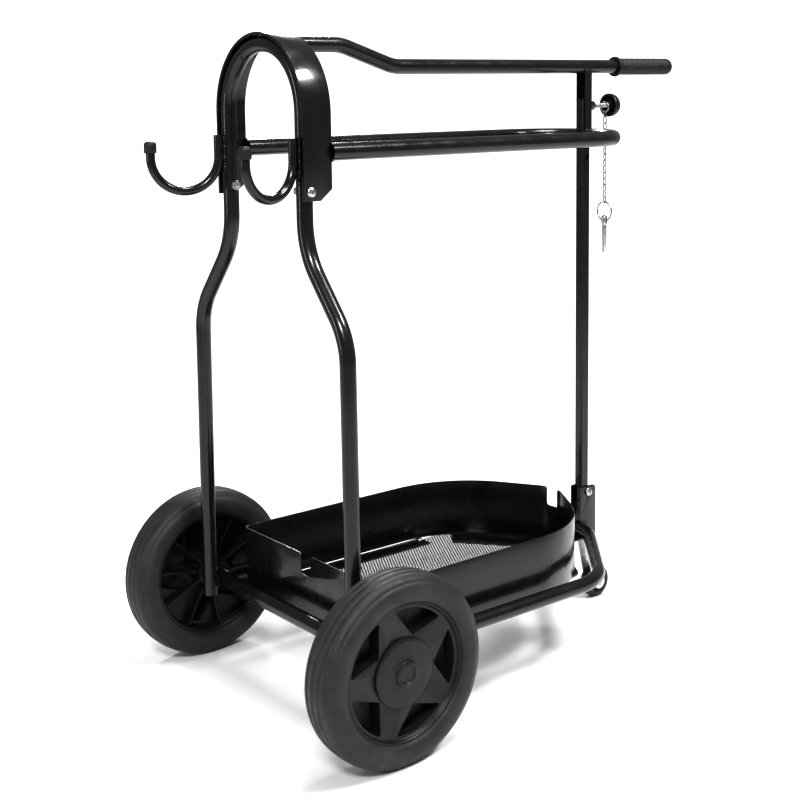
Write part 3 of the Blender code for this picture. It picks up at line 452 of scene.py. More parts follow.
def domed_bolt(shank, length, head, height, under_head, direction, recess=0.0):
    dome = [(0.0, height)]
    for i in range(1, 9):
        angle = pi / 2 * i / 8
        dome.append((head * sin(angle), height * (0.22 + 0.78 * cos(angle))))
    profile = dome + [(head, 0.0), (shank, 0.0), (shank, -length), (0.0, -length)]
    bolt = softened(turned(profile, under_head, direction, 48), 0.0002, 2, 50)
    if recess:
        up = Vector(direction)
        top = Vector(under_head) + up * height
        bolt = combined(bolt, cylinder(recess, top - up * height * 0.55, top + up * 0.002, 6))
    return bolt


def drilled(obj, radius, x, z):
    """The object with a hole along Y right through it."""
    return combined(obj, cylinder(radius, (x, -0.03, z), (x, 0.03, z)))


def mirrored(side):
    """A closed profile from its upper half."""
    return side + [(r, -z) for r, z in reversed(side)]


def weld(points, width, closed=False):
    """A rippled bead along a line."""
    ripple = [0.82 + 0.18 * abs(sin(i * 0.9)) + 0.05 * sin(i * 2.3) for i in range(len(points))]
    return rod(points, width, 5, closed=closed, swell=lambda i: ripple[i])


def along(start, end, step=0.0011):
    start, end = Vector(start), Vector(end)
    count = max(3, ceil((end - start).length / step))
    return [start.lerp(end, i / count) for i in range(count + 1)]


def straight_weld(start, end, width):
    return weld(along(start, end), width)


FACING_X = Matrix(((0, 0, 1, 0), (1, 0, 0, 0), (0, 1, 0, 0), (0, 0, 0, 1)))
FACING_Y = Matrix(((1, 0, 0, 0), (0, 0, -1, 0), (0, 1, 0, 0), (0, 0, 0, 1)))


# ---- front frame and hooks ----
def front_frame():
    foot, knee = ((0, -FOOT_HALF, FOOT_Z), 0), ((0, -KNEE_HALF, KNEE_Z), 0.10)
    neck, shoulder = ((0, -NECK_HALF, NECK_Z), 0.12), ((0, -NECK_HALF, ARCH_Z), 0)
    right = rounded([foot, knee, neck, shoulder])[:-1]
    arch = half_circle((0, 0, ARCH_Z), NECK_HALF, (0, 1, 0), (0, 0, 1))
    left = [Vector((p.x, -p.y, p.z)) for p in reversed(right)]
    show(pipe(right + arch + left, TUBE, TUBE_WALL), "front_frame", "frame", COAT, "front_frame_tube")
    x, low, high = 0.0116, 0.1195, 0.1405
    for side, sign in SIDES.items():
        places = [sign * 0.1984 + dy for dy in (-0.0035, 0.0035)]
        beads = [straight_weld((x, y, low), (x, y, high), 0.0042) for y in places]
        show(joined(beads), f"foot_weld_{side}", "frame", BEAD)


def hooks():
    for side, sign in SIDES.items():
        outward = Vector((-cos(HOOK_SPLAY), sign * sin(HOOK_SPLAY), 0))
        stem = Vector((HOOK_X, sign * HOOK_Y, HOOK_TOP_Z))
        low = Vector((stem.x, stem.y, FOLD_Z - HOOK_ROD / 2 + HOOK_RADIUS))
        bend = half_circle(low + outward * HOOK_RADIUS, HOOK_RADIUS, outward, (0, 0, -1))
        tip = bend[-1] + Vector((0, 0, HOOK_TOP_Z - low.z - 0.012))
        hook = softened(rod([stem] + bend + [tip], HOOK_ROD, 12), 0.0006, 3, 60)
        show(hook, f"bridle_hook_{side}", "frame", COAT, f"hook_{side}")
        x, low, high = -0.0118, 0.802, 0.8555
        places = [stem.y + dy for dy in (-0.0052, 0.0052)]
        beads = [straight_weld((x, y, low), (x, y, high), 0.0046) for y in places]
        show(joined(beads), f"hook_weld_{side}", "frame", BEAD)
        inner = HOOK_ROD / 2 + GAP
        profile = [(0.0, 0.0050), (0.0045, 0.0047), (0.0072, 0.0036), (0.0088, 0.0018), (0.0092, -0.0004)]
        profile += [(0.0092, -0.0102), (0.0088, -0.0112), (0.0092, -0.0116), (0.0090, -0.0124)]
        profile += [(inner, -0.0125), (inner, GAP), (0.0, GAP)]
        cap = turned(profile, tip, (0, 0, 1), 56)
        show(cap, f"hook_end_{side}", "frame", RUBBER, f"hook_cap_{side}", sharp=50)


def fold_bolts():
    strap_outer = STRAP_INNER + STRAP_SHEET
    inside = NECK_HALF - TUBE / 2
    for side, sign in SIDES.items():
        seat = (0, sign * (strap_outer + GAP), FOLD_Z)
        bolt = domed_bolt(BOLT / 2, strap_outer - inside + 0.008, 0.0075, 0.0045, seat, (0, sign, 0), 0.0024)
        show(bolt, f"carrier_bolt_{side}", "frame", ZINC, f"fold_bolt_{side}")
        start = Vector((0, sign * (inside - GAP), FOLD_Z))
        nut = hex_ring(BOLT / 2 + 0.0001, 0.013, start, start - Vector((0, sign * 0.0055, 0)))
        show(nut, f"carrier_nut_{side}", "frame", ZINC, f"fold_nut_{side}")


# ---- axle and wheels ----
def axle():
    half = BASE_HALF + TUBE / 2
    ends = along((AXLE_X, -half, AXLE_Z), (AXLE_X, half, AXLE_Z), 0.1)
    tube = softened(pipe(ends, AXLE_TUBE, 0.002, 18), 0.0003, 2, 60)
    show(tube, "cross_tube", "frame", COAT, "axle_tube")
    reach = WHEEL_HALF + 0.0165
    bar = cylinder(AXLE_ROD / 2, (AXLE_X, -reach, AXLE_Z), (AXLE_X, reach, AXLE_Z), 48)
    show(softened(bar, 0.0006, 2), "axle_bar", "frame", ZINC, "wheel_axle")
    bore = 0.0062
    for side, sign in SIDES.items():
        place, out = (AXLE_X, sign * half, AXLE_Z), (0, sign, 0)
        bush = ring(bore, 0.0097, -0.012, 0.0, place, out)
        show(bush, f"cross_tube_bush_{side}", "frame", PLASTIC, f"axle_bush_{side}")
        washer = ring(bore, 0.014, GAP, 0.0018, place, out)
        show(washer, f"wheel_washer_{side}", "frame", ZINC, f"axle_washer_{side}")
        face = (AXLE_X, sign * (WHEEL_HALF + 0.010), AXLE_Z)
        lock = ring(bore, 0.0115, GAP, 0.0018, face, out)
        show(lock, f"wheel_lock_{side}", "frame", ZINC, f"axle_lock_ring_{side}")


def tyre_profile():
    """Rounded shoulders, a step on each sidewall and two fine grooves round the tread."""
    half = WHEEL_WIDTH / 2
    return mirrored(
        [
            (HUB_RADIUS + GAP, half - 0.0065), (0.1005, half - 0.0036), (0.1040, half - 0.0012),
            (0.1082, half), (0.1185, half - 0.0002), (0.1235, half - 0.0015), (0.1274, half - 0.0043),
            (0.1282, half - 0.0054), (0.1296, half - 0.0058), (0.1324, half - 0.0074),
            (0.1350, half - 0.0106), (0.1366, half - 0.0148), (0.1372, half - 0.0185),
            (0.1362, half - 0.0194), (0.1362, half - 0.0206), (0.1374, half - 0.0216),
            (WHEEL_RADIUS, half - 0.0270), (WHEEL_RADIUS, 0.0022), (0.1370, 0.0014),
        ]
    )


def wheel(side, sign):
    body, centre, out = f"wheel_{side}", (AXLE_X, sign * WHEEL_HALF, AXLE_Z), (0, sign, 0)
    tyre = turned(tyre_profile(), centre, out, 144, closed=True)
    show(tyre, f"rubber_tyre_{side}", body, TYRE, f"tyre_{side}", sharp=60)
    show(hub(centre, out), f"star_hub_{side}", body, PLASTIC, f"wheel_hub_{side}")
    bush = ring(0.00615, 0.0085, -0.0350, 0.0098, centre, out)
    show(bush, f"hub_bush_{side}", body, NYLON, f"wheel_bush_{side}")
    cap = [
        (0.0, 0.0282), (0.0118, 0.0282), (0.0128, 0.0290), (0.0138, 0.0300), (0.0158, 0.0300),
        (0.0178, 0.0290), (0.0190, 0.0268), (0.0212, 0.0260), (0.0300, 0.0258), (0.0440, 0.0250),
        (0.0476, 0.0243), (0.0494, 0.0232), (0.0500, 0.0218), (0.0500, 0.0203), (0.0, 0.0203),
    ]
    show(turned(cap, centre, out, 96), f"centre_cap_{side}", body, PLASTIC, f"hub_cap_{side}", sharp=28)


def hub(centre, out):
    """A star raised over five floored pockets, hollow behind, with ten ribs between collar and rim."""
    profile = [
        (0.0086, 0.010), (0.0155, 0.010), (0.0155, 0.020), (0.0925, 0.020), (0.0938, 0.0204),
        (0.0948, 0.0216), (0.0958, 0.0250), (0.0968, 0.0262), (HUB_RADIUS, 0.0264),
        (HUB_RADIUS, -0.0258), (0.0962, -0.0260), (0.0950, -0.0245), (0.0932, -0.0075),
        (0.0915, -0.0050), (0.0245, -0.0050), (0.0230, -0.0065), (0.0230, -0.0200),
        (0.0175, -0.0205), (0.0175, -0.0352), (0.0086, -0.0352),
    ]
    disc = turned(profile, (0, 0, 0), (0, 0, 1), 120, closed=True)

    def at(radius, degrees):
        return Vector((radius * cos(radians(degrees)), radius * sin(radians(degrees)), 0))

    point, edge, half_angle = 0.0520, 0.0905, 27
    window = [(at(point, 0), 0.0030), (at(edge, -half_angle), 0.0018)]
    window += [(at(edge, angle), 0) for angle in range(-22, 23, 4)] + [(at(edge, half_angle), 0.0018)]
    pocket = rounded(window, radians(20), closed=True)
    hollow = []
    for i in range(5):
        spin = Matrix.Rotation(2 * pi * i / 5, 4, "Z") @ Matrix.Translation((0, 0, 0.0105))
        disc = combined(disc, plate(pocket, 0.025, spin))
        hollow += [at(r, 72 * i + angle) for r, angle in ((0.0482, 0), (0.0868, 29.1), (0.0868, 42.9))]
    back = plate(hollow, 0.0260, Matrix.Translation((0, 0, 0.0032)))
    back = combined(back, cylinder(0.0240, (0, 0, -0.03), (0, 0, 0.03), 48))
    disc = softened(combined(disc, back), 0.0006, 2, 40)
    rib = [(0.0195, -0.0190), (0.0600, -0.0165), (0.0956, -0.0200), (0.0956, -0.0034), (0.0195, -0.0034)]
    ribs = []
    for i in range(10):
        spin = Matrix.Rotation(2 * pi * (i + 0.28) / 10, 4, "Z")
        ribs.append(softened(plate(rib, 0.0024, spin @ FACING_Y), 0.0004, 2))
    whole = joined([disc] + ribs)
    whole.data.transform(aimed(centre, out))
    return whole


# ---- base and tray ----
def base():
    start = AXLE_X + 0.008
    corners = [
        ((start, -BASE_HALF, AXLE_Z), 0),
        ((BASE_CORNER_X, -BASE_HALF, AXLE_Z), 0.10),
        ((BASE_TIP_X, 0, AXLE_Z), 0.08),
        ((BASE_CORNER_X, BASE_HALF, AXLE_Z), 0.10),
        ((start, BASE_HALF, AXLE_Z), 0),
    ]
    show(pipe(rounded(corners), TUBE, TUBE_WALL), "base_loop", "frame", COAT, "base_rail")
    beads = []
    for sign in (1, -1):
        points = []
        for i in range(60):
            angle = 2 * pi * i / 60
            y, z = TUBE / 2 * cos(angle), TUBE / 2 * sin(angle)
            surface = sqrt((AXLE_TUBE / 2) ** 2 - z * z) + 0.0006
            points.append((AXLE_X + surface, sign * BASE_HALF + y, AXLE_Z + z))
        beads.append(weld(points, 0.0040, closed=True))
    show(joined(beads), "base_weld", "frame", BEAD)


def tray_outline(inset=0.0, step=radians(3)):
    half = TRAY_HALF - inset
    front = TRAY_FRONT_X + inset
    tip = TRAY_TIP_X - inset * 1.17
    corner = TRAY_CORNER_X - inset * 0.57
    tight, wide = 0.012 - min(inset, 0.010), 0.19 - inset
    outline = [((front, -half, 0), tight), ((corner, -half, 0), wide), ((tip, 0, 0), 0.06 - inset)]
    outline += [((corner, half, 0), wide), ((front, half, 0), tight)]
    return rounded(outline, step, closed=True)


def tray():
    wall_low = FLOOR_Z + SHEET + GAP
    level = Matrix.Translation((0, 0, (wall_low + TRAY_TOP) / 2))
    wall = plate(tray_outline(), TRAY_TOP - wall_low, level)
    wall = combined(wall, plate(tray_outline(SHEET), 0.2, level))
    half, flare = NOTCH_WIDTH / 2, NOTCH_WIDTH / 2 + 0.003
    rim, over = TRAY_TOP + 0.0002, TRAY_TOP + 0.02
    notch = [((half, NOTCH_Z, 0), 0.0055), ((half, TRAY_TOP - 0.003, 0), 0), ((flare, rim, 0), 0)]
    notch += [((flare, over, 0), 0), ((-flare, over, 0), 0), ((-flare, rim, 0), 0)]
    notch += [((-half, TRAY_TOP - 0.003, 0), 0), ((-half, NOTCH_Z, 0), 0.0055)]
    place = Matrix.Translation((0.32, 0, 0)) @ FACING_X
    wall = combined(wall, plate(rounded(notch, radians(10), closed=True), 0.64, place))
    show(softened(wall, 0.00035, 2, 40), "tray_side", "frame", COAT, "tray_wall")
    perforated_floor()
    supports()


def inside(point, outline):
    """Whether a point in plan lies within a closed outline."""
    x, y = point
    within = False
    for i, a in enumerate(outline):
        b = outline[i - 1]
        if (a.y > y) != (b.y > y) and x < (b.x - a.x) * (y - a.y) / (b.y - a.y) + a.x:
            within = not within
    return within


def perforated_floor():
    """A plain rim, and inside it a sheet of close staggered holes, left whole under the screws.

    The rows end 13 mm short of the rim on both sides, and the side bars below cover most of that opening.
    """
    top = FLOOR_Z + SHEET
    level = Matrix.Translation((0, 0, FLOOR_Z + SHEET / 2))
    rim = combined(plate(tray_outline(), SHEET, level), plate(tray_outline(0.0065), 0.02, level))
    border = tray_outline(0.0048, radians(6))
    low, high = top - 0.0009, top - 0.0002

    def hexagon(radius):
        return [(radius * sin(pi * k / 3), radius * cos(pi * k / 3)) for k in range(6)]

    cell, hole = hexagon(HOLE_PITCH / sqrt(3)), hexagon(HOLE_RADIUS)
    loops = [(cell, high), (hole, high), (hole, low), (cell, low)]
    points, faces = [], []
    for j in range(-HOLE_ROWS, HOLE_ROWS + 1):
        for i in range(int(HOLE_REACH / HOLE_PITCH)):
            x = TRAY_FRONT_X + (i + 0.5 * (j % 2)) * HOLE_PITCH
            y = j * HOLE_PITCH * sqrt(3) / 2
            if not inside((x, y), border):
                continue
            first = len(points)
            solid = (x - SCREW_X) ** 2 + (abs(y) - SCREW_Y) ** 2 < SCREW_HEAD**2
            for outline, z in loops[:1] if solid else loops:
                points += [(x + dx, y + dy, z) for dx, dy in outline]
            if solid:
                faces.append([first + k for k in range(5, -1, -1)])
                continue
            for k in range(6):
                n = (k + 1) % 6
                for a in (first, first + 6, first + 12):
                    faces.append((a + k, a + 6 + k, a + 6 + n, a + n))
    mesh = bpy.data.meshes.new("holes")
    mesh.from_pydata(points, [], faces)
    floor = joined([softened(rim, 0.0002, 1), bpy.data.objects.new("holes", mesh)])
    show(floor, "perforated_floor", "frame", COAT, "tray_floor")


def supports():
    top = FLOOR_Z - GAP
    low = top - SUPPORT
    for side, sign in SIDES.items():
        y_low, y_high = sorted((sign * 0.138, sign * 0.172))
        bar = softened(box((0.030, y_low, low), (0.415, y_high, top)), 0.0005, 2)
        show(bar, f"floor_bar_{side}", "frame", COAT, f"tray_support_{side}")
        seat = (SCREW_X, sign * SCREW_Y, FLOOR_Z + SHEET + GAP)
        screw = domed_bolt(0.0025, FLOOR_Z + SHEET + GAP - low, SCREW_HEAD, 0.0034, seat, (0, 0, 1))
        for turn in (20, 110):
            place = Matrix.Translation(seat) @ Matrix.Rotation(radians(turn), 4, "Z")
            screw = combined(screw, box((-0.0026, -0.0006, 0.0014), (0.0026, 0.0006, 0.006), place))
        show(screw, f"floor_screw_{side}", "frame", ZINC, f"tray_rivet_{side}")
    arm = [(0.448, 0.118, 0.002), (0.472, 0.150, 0.01), (0.505, 0.142, 0.02)]
    arm += [(0.580, 0.022, 0.01), (0.652, 0.022, 0.004)]
    outline = [((x, -y, 0), radius) for x, y, radius in arm]
    outline += [((x, y, 0), radius) for x, y, radius in reversed(arm)]
    outline.append(((0.545, 0.0, 0), 0.045))
    level = Matrix.Translation((0, 0, top - SUPPORT / 2))
    rear = softened(plate(rounded(outline, radians(8), closed=True), SUPPORT, level), 0.0005, 2)
    show(rear, "rear_floor_plate", "frame", COAT, "tray_support_rear")


# ---- rear bracket, roller and post ----
EAR_INSIDE = POST / 2 + 0.0005
EAR_OUTSIDE = EAR_INSIDE + EAR_SHEET
EAR_FRONT_X, EAR_STEP_X, EAR_REAR_X, EAR_TOP_Z = 0.640, 0.6545, 0.680, 0.2075
EAR_LOW_REAR = Vector((EAR_REAR_X, 0.1055, 0))
EAR_LOW_FRONT = Vector((EAR_STEP_X, 0.1220, 0))


def pair(outline, thickness, offset):
    """Two upright cheeks, at +Y and -Y."""
    places = [Matrix.Translation((0, sign * offset, 0)) @ FACING_Y for sign in SIDES.values()]
    left, right = [plate(outline, thickness, place) for place in places]
    return combined(left, right, "UNION")


def rear_bracket():
    over_rail = AXLE_Z + TUBE / 2 + GAP
    outline = [((EAR_FRONT_X, over_rail, 0), 0), ((EAR_STEP_X, over_rail, 0), 0), (EAR_LOW_FRONT, 0)]
    outline += [(EAR_LOW_REAR, 0), ((EAR_REAR_X, EAR_TOP_Z, 0), 0.008), ((EAR_FRONT_X, EAR_TOP_Z, 0), 0.003)]
    ear = rounded(outline, radians(10), closed=True)
    offset = EAR_INSIDE + EAR_SHEET / 2
    bracket = pair(ear, EAR_SHEET, offset)
    web = box((0.6432, -offset, over_rail + 0.0005), (0.6458, offset, 0.1800))
    bracket = combined(bracket, web, "UNION")
    lower = box((EAR_STEP_X + 0.0005, -offset, 0.1235), (EAR_STEP_X + 0.003, offset, 0.1480))
    bracket = drilled(combined(bracket, lower, "UNION"), BOLT / 2 + GAP, PIVOT_X, PIVOT_Z)
    show(softened(bracket, 0.0005, 2), "post_bracket", "frame", COAT, "rear_bracket")
    beads = []
    for sign in (1, -1):
        y = sign * (EAR_OUTSIDE + 0.0006)
        start, end = (0.6412, y, over_rail - 0.0002), (EAR_STEP_X - 0.0006, y, over_rail - 0.0010)
        beads.append(straight_weld(start, end, 0.0036))
    show(joined(beads), "bracket_weld", "frame", BEAD)
    seat = (PIVOT_X, -EAR_OUTSIDE - GAP, PIVOT_Z)
    bolt = domed_bolt(BOLT / 2, 2 * EAR_OUTSIDE + 0.009, 0.0078, 0.0048, seat, (0, -1, 0), 0.0025)
    show(bolt, "post_pivot_bolt", "frame", ZINC, "post_bolt")
    start = Vector((PIVOT_X, EAR_OUTSIDE + GAP, PIVOT_Z))
    nut = hex_ring(BOLT / 2 + 0.0001, 0.013, start, start + Vector((0, 0.0065, 0)))
    show(nut, "post_pivot_nut", "frame", ZINC, "post_nut")


def roller_fork():
    side_low, sheet = ROLLER_WIDTH / 2 + 0.0018, 0.0020
    slope = (EAR_LOW_REAR - EAR_LOW_FRONT).normalized()
    normal = Vector((slope.y, -slope.x, 0))
    front = EAR_LOW_FRONT + normal * GAP - slope * 0.0005
    rear = EAR_LOW_REAR + normal * GAP + slope * 0.0085
    eye = Vector((ROLLER_X, ROLLER_Z, 0))
    outline = [front, rear]
    for degrees in range(4, -186, -9):
        outline.append(eye + 0.0130 * Vector((cos(radians(degrees)), sin(radians(degrees)), 0)))
    fork = pair(outline, sheet, side_low + sheet / 2)
    crown = [front, rear, rear + normal * 0.0025, front + normal * 0.0025]
    fork = combined(fork, plate(crown, 2 * side_low + sheet, FACING_Y), "UNION")
    fork = drilled(fork, 0.0033, ROLLER_X, ROLLER_Z)
    show(softened(fork, 0.0005, 2), "caster_fork", "frame", GALVANISED, "roller_fork")
    outer = side_low + sheet
    seat = (ROLLER_X, -outer - GAP, ROLLER_Z)
    bolt = domed_bolt(0.003, 2 * outer + 0.007, 0.0058, 0.0034, seat, (0, -1, 0), 0.0020)
    show(bolt, "roller_axle_bolt", "frame", ZINC, "roller_bolt")
    start = Vector((ROLLER_X, outer + GAP, ROLLER_Z))
    nut = hex_ring(0.0031, 0.010, start, start + Vector((0, 0.005, 0)))
    show(nut, "roller_axle_nut", "frame", ZINC, "roller_nut")


def roller():
    centre, half = (ROLLER_X, 0, ROLLER_Z), ROLLER_WIDTH / 2
    tread = [
        (0.0182, half - 0.001), (0.0190, half - 0.0004), (0.0244, half), (0.0266, half - 0.0006),
        (0.0282, half - 0.0022), (ROLLER_RADIUS, half - 0.0046),
    ]
    tyre = turned(mirrored(tread), centre, (0, 1, 0), 80, closed=True)
    show(tyre, "roller_tread", "roller", RUBBER, "roller_tyre", sharp=50)
    core = [
        (0.0032, half + 0.001), (0.0070, half + 0.001), (0.0085, half - 0.003), (0.0160, half - 0.004),
        (0.0168, half - 0.0016), (0.0179, half - 0.0014),
    ]
    wheel_core = turned(mirrored(core), centre, (0, 1, 0), 80, closed=True)
    show(wheel_core, "roller_core", "roller", PLASTIC, "roller_hub")


def post():
    half = POST / 2
    corners = ((-half, -half), (half, -half), (half, half), (-half, half))
    square = rounded([((POST_X + x, y, 0), 0.0022) for x, y in corners], radians(9), closed=True)
    level = Matrix.Translation((0, 0, (POST_FOOT_Z + POST_TOP_Z) / 2))
    tube = plate(square, POST_TOP_Z - POST_FOOT_Z, level)
    hollow = half - 0.0015
    tube = combined(tube, box((POST_X - hollow, -hollow, 0.1), (POST_X + hollow, hollow, 1.0)))
    tube = drilled(tube, BOLT / 2 + GAP, PIVOT_X, PIVOT_Z)
    tube = drilled(tube, PIN / 2 + 0.0005, POST_X, PIN_HOLE_Z)
    show(tube, "square_post", "post", COAT, "post", sharp=25)
    inner, top = hollow - GAP, POST_TOP_Z + GAP
    plug = box((POST_X - inner, -inner, top - 0.012), (POST_X + inner, inner, top + 0.0005))
    lid = box((POST_X - half, -half, top), (POST_X + half, half, top + 0.0022))
    show(softened(combined(plug, lid, "UNION"), 0.0006, 2), "post_end_plug", "post", PLASTIC, "post_plug")


# ---- carrier ----
def strap():
    def half_loop(half):
        bend = half_circle((0, ARCH_Z, 0), half, (1, 0, 0), (0, 1, 0), radians(2.5))
        return [Vector((-half, STRAP_END_Z, 0))] + bend + [Vector((half, STRAP_END_Z, 0))]

    outline = half_loop(STRAP_INNER + STRAP_SHEET) + half_loop(STRAP_INNER)[::-1]
    place = Matrix.Translation(((STRAP_FRONT_X + STRAP_REAR_X) / 2, 0, 0)) @ FACING_X
    arch = plate(outline, STRAP_REAR_X - STRAP_FRONT_X, place)
    corner = [Vector((0.0165, 0.760, 0)), Vector((0.0165, STRAP_END_Z, 0))]
    corner += [Vector((0.0375, 0.7855, 0)), Vector((0.045, 0.760, 0))]
    arch = combined(arch, plate(corner, 0.26, FACING_Y))
    show(softened(arch, 0.0007, 3, 40), "arch_strap", "carrier", COAT, "strap_arch", sharp=30)


def saddle_rail():
    bend = half_circle((RAIL_END_X - RAIL_HALF, 0, RAIL_Z), RAIL_HALF, (0, 1, 0), (1, 0, 0))
    start = STRAP_REAR_X + GAP
    path = [Vector((start, -RAIL_HALF, RAIL_Z))] + bend + [Vector((start, RAIL_HALF, RAIL_Z))]
    show(pipe(path, RAIL, TUBE_WALL), "saddle_loop", "carrier", COAT, "saddle_rail")
    beads = []
    for sign in (1, -1):
        centre = (STRAP_REAR_X + 0.0008, sign * RAIL_HALF, RAIL_Z)
        near, far = STRAP_INNER - 0.002, STRAP_INNER + STRAP_SHEET + 0.002
        points = [p for p in circle(centre, RAIL / 2, (0, 1, 0), (0, 0, 1), 72) if near < abs(p.y) < far]
        beads.append(weld([p for p in points if p.z > RAIL_Z], 0.0044))
        beads.append(weld([p for p in points if p.z < RAIL_Z], 0.0044))
    show(joined(beads), "rail_weld", "carrier", BEAD)


def handle():
    high = ARCH_Z + NECK_HALF
    corners = [((TUBE / 2 + 0.0015, 0, high), 0), ((0.1365, 0, high), 0.09)]
    corners += [((0.2365, 0, HANDLE_Z), 0.09), ((HANDLE_END_X, 0, HANDLE_Z), 0)]
    path = rounded(corners, radians(1.5))
    show(pipe(path, TUBE, TUBE_WALL), "push_handle", "carrier", COAT, "handle_tube")
    z = high + TUBE / 2 - 0.0012
    beads = [straight_weld((0.0140, y, z), (0.0355, y, z), 0.0034) for y in (0.0052, -0.0052)]
    show(joined(beads), "handle_weld", "carrier", BEAD)
    grip()


def grip():
    """A soft sleeve with a collar, a domed end, and crossed grooves that leave rows of small diamonds."""
    length = GRIP_END_X - GRIP_FRONT_X
    radius, bore = 0.0145, 0.0113
    collar, dome = 0.0055, 0.0125
    first_groove, last_groove, run_out = 0.0105, length - 0.0160, 0.0015
    depth, pitch, starts = 0.0007, 0.0066, 6
    rings, around = 250, 96

    def outer(x):
        if x < collar:
            lip = x / collar
            return 0.0172 + 0.0004 * sin(pi * lip) - 0.0020 * max(0.0, lip - 0.7) / 0.3
        if x > length - dome:
            s = (x - length + dome) / dome
            return radius * sqrt(max(0.0, 1 - 0.90 * s * s * s)) if s < 0.98 else radius * 0.315
        return radius

    points, faces = [], []
    for i in range(rings + 1):
        x = length * i / rings
        edge = min(1.0, max(0.0, min(x - first_groove, last_groove - x) / run_out))
        for k in range(around):
            angle = 2 * pi * k / around
            turn = angle * starts / (2 * pi)
            first = abs((x / pitch + turn) % 1.0 - 0.5) * 2
            second = abs((x / pitch - turn) % 1.0 - 0.5) * 2
            groove = max(0.0, 1 - min(first, second) / 0.34)
            r = outer(x) - depth * edge * min(1.0, groove * 1.6)
            points.append((r * sin(angle), r * cos(angle), x))
    for i in range(rings):
        for k in range(around):
            n = (k + 1) % around
            faces.append((i * around + k, i * around + n, (i + 1) * around + n, (i + 1) * around + k))
    faces.append([rings * around + k for k in range(around)])
    first = len(points)
    for k in range(around):
        n, angle = (k + 1) % around, 2 * pi * k / around
        points.append((bore * sin(angle), bore * cos(angle), 0.0))
        faces.append((k, first + k, first + n, n))
    mesh = bpy.data.meshes.new("grip")
    mesh.from_pydata(points, [], faces)
    obj = tidied(bpy.data.objects.new("grip", mesh))
    obj.data.transform(aimed((GRIP_FRONT_X, 0, HANDLE_Z), (1, 0, 0)))
    show(obj, "moulded_grip", "carrier", RUBBER, "handle_grip", sharp=50)


def clamp_channel():
    within = POST / 2 + 0.0008
    outside = within + CHANNEL_SHEET
    web = POST_X + POST / 2 + 0.0005
    rear = web + CHANNEL_WEB
    front = 0.6500
    corners = [((front, -outside, 0), 0.0003), ((rear, -outside, 0), 0.0018)]
    corners += [((rear, outside, 0), 0.0018), ((front, outside, 0), 0.0003)]
    corners += [((front, within, 0), 0.0003), ((web, within, 0), 0)]
    corners += [((web, -within, 0), 0), ((front, -within, 0), 0.0003)]
    section = rounded(corners, radians(12), closed=True)
    level = Matrix.Translation((0, 0, (CHANNEL_END_Z + HANDLE_Z) / 2))
    channel = plate(section, HANDLE_Z - CHANNEL_END_Z, level)
    channel = combined(channel, cylinder(TUBE / 2, (0.6, 0, HANDLE_Z), (0.72, 0, HANDLE_Z), 64))
    channel = combined(channel, cylinder(BOLT / 2 + GAP, (web - 0.003, 0, KNOB_Z), (rear + 0.003, 0, KNOB_Z)))
    show(channel, "post_channel", "carrier", COAT, "clamp_channel", sharp=30)
    start = Vector((rear + GAP, 0, KNOB_Z))
    nut = hex_ring(BOLT / 2 + 0.0001, 0.015, start, start + Vector((0.012, 0, 0)))
    show(nut, "clamp_boss", "carrier", COAT, "clamp_nut")
    foot = HANDLE_Z - TUBE / 2
    z = foot + 0.0066
    beads = [straight_weld((front, y, z), (rear, y, z), 0.0036) for y in (0.0108, -0.0108)]
    saddle = [(rear + 0.0004, y / 1000, foot + 0.0006 + (y / 1000) ** 2 * 48) for y in range(-9, 10)]
    beads.append(weld(saddle, 0.0038))
    boss = circle((rear + 0.0005, 0, KNOB_Z), 0.0080, (0, 1, 0), (0, 0, 1), 44)
    beads.append(weld(boss, 0.0030, closed=True))
    x, low, high = RAIL_END_X - RAIL / 2 - 0.0004, RAIL_Z - 0.005, RAIL_Z + 0.005
    beads += [straight_weld((x, y, low), (x, y, high), 0.0036) for y in (0.0098, -0.0098)]
    show(joined(beads), "channel_weld", "carrier", BEAD)


# ---- knob, chain and pin ----
def knob():
    tip = POST_X + POST / 2 + GAP
    bar = threaded(BOLT / 2, 0.00125, tip, KNOB_X + 0.0140, (0, 0, KNOB_Z), (1, 0, 0))
    show(bar, "knob_thread", "knob", ZINC, "knob_screw", sharp=60)
    profile = [
        (0.0, 0.0210), (0.0050, 0.0208), (0.0095, 0.0196), (0.0140, 0.0174), (0.0170, 0.0146),
        (0.0190, 0.0112), (0.0201, 0.0076), (KNOB_RADIUS, 0.0040), (KNOB_RADIUS, 0.0014),
        (0.0200, 0.0003), (0.0190, 0.0), (0.0180, 0.0004), (0.0172, 0.0016), (0.0160, 0.0090),
        (0.0120, 0.0114), (0.0085, 0.0120), (0.0076, 0.0015), (0.0070, 0.0), (0.0042, 0.0),
        (0.0042, 0.0142), (0.0, 0.0142),
    ]
    head = turned(profile, (0, 0, 0), (0, 0, 1), 96)
    turns = [Matrix.Rotation(pi * i / 3, 4, "Z") for i in range(6)]
    ribs = [box((0.0075, -0.0006, 0.0040), (0.0172, 0.0006, 0.0125), turn) for turn in turns]
    whole = joined([head] + ribs)
    whole.data.transform(aimed((KNOB_X, 0, KNOB_Z), (1, 0, 0)))
    show(whole, "clamp_knob", "knob", PLASTIC, "knob_head", sharp=40)


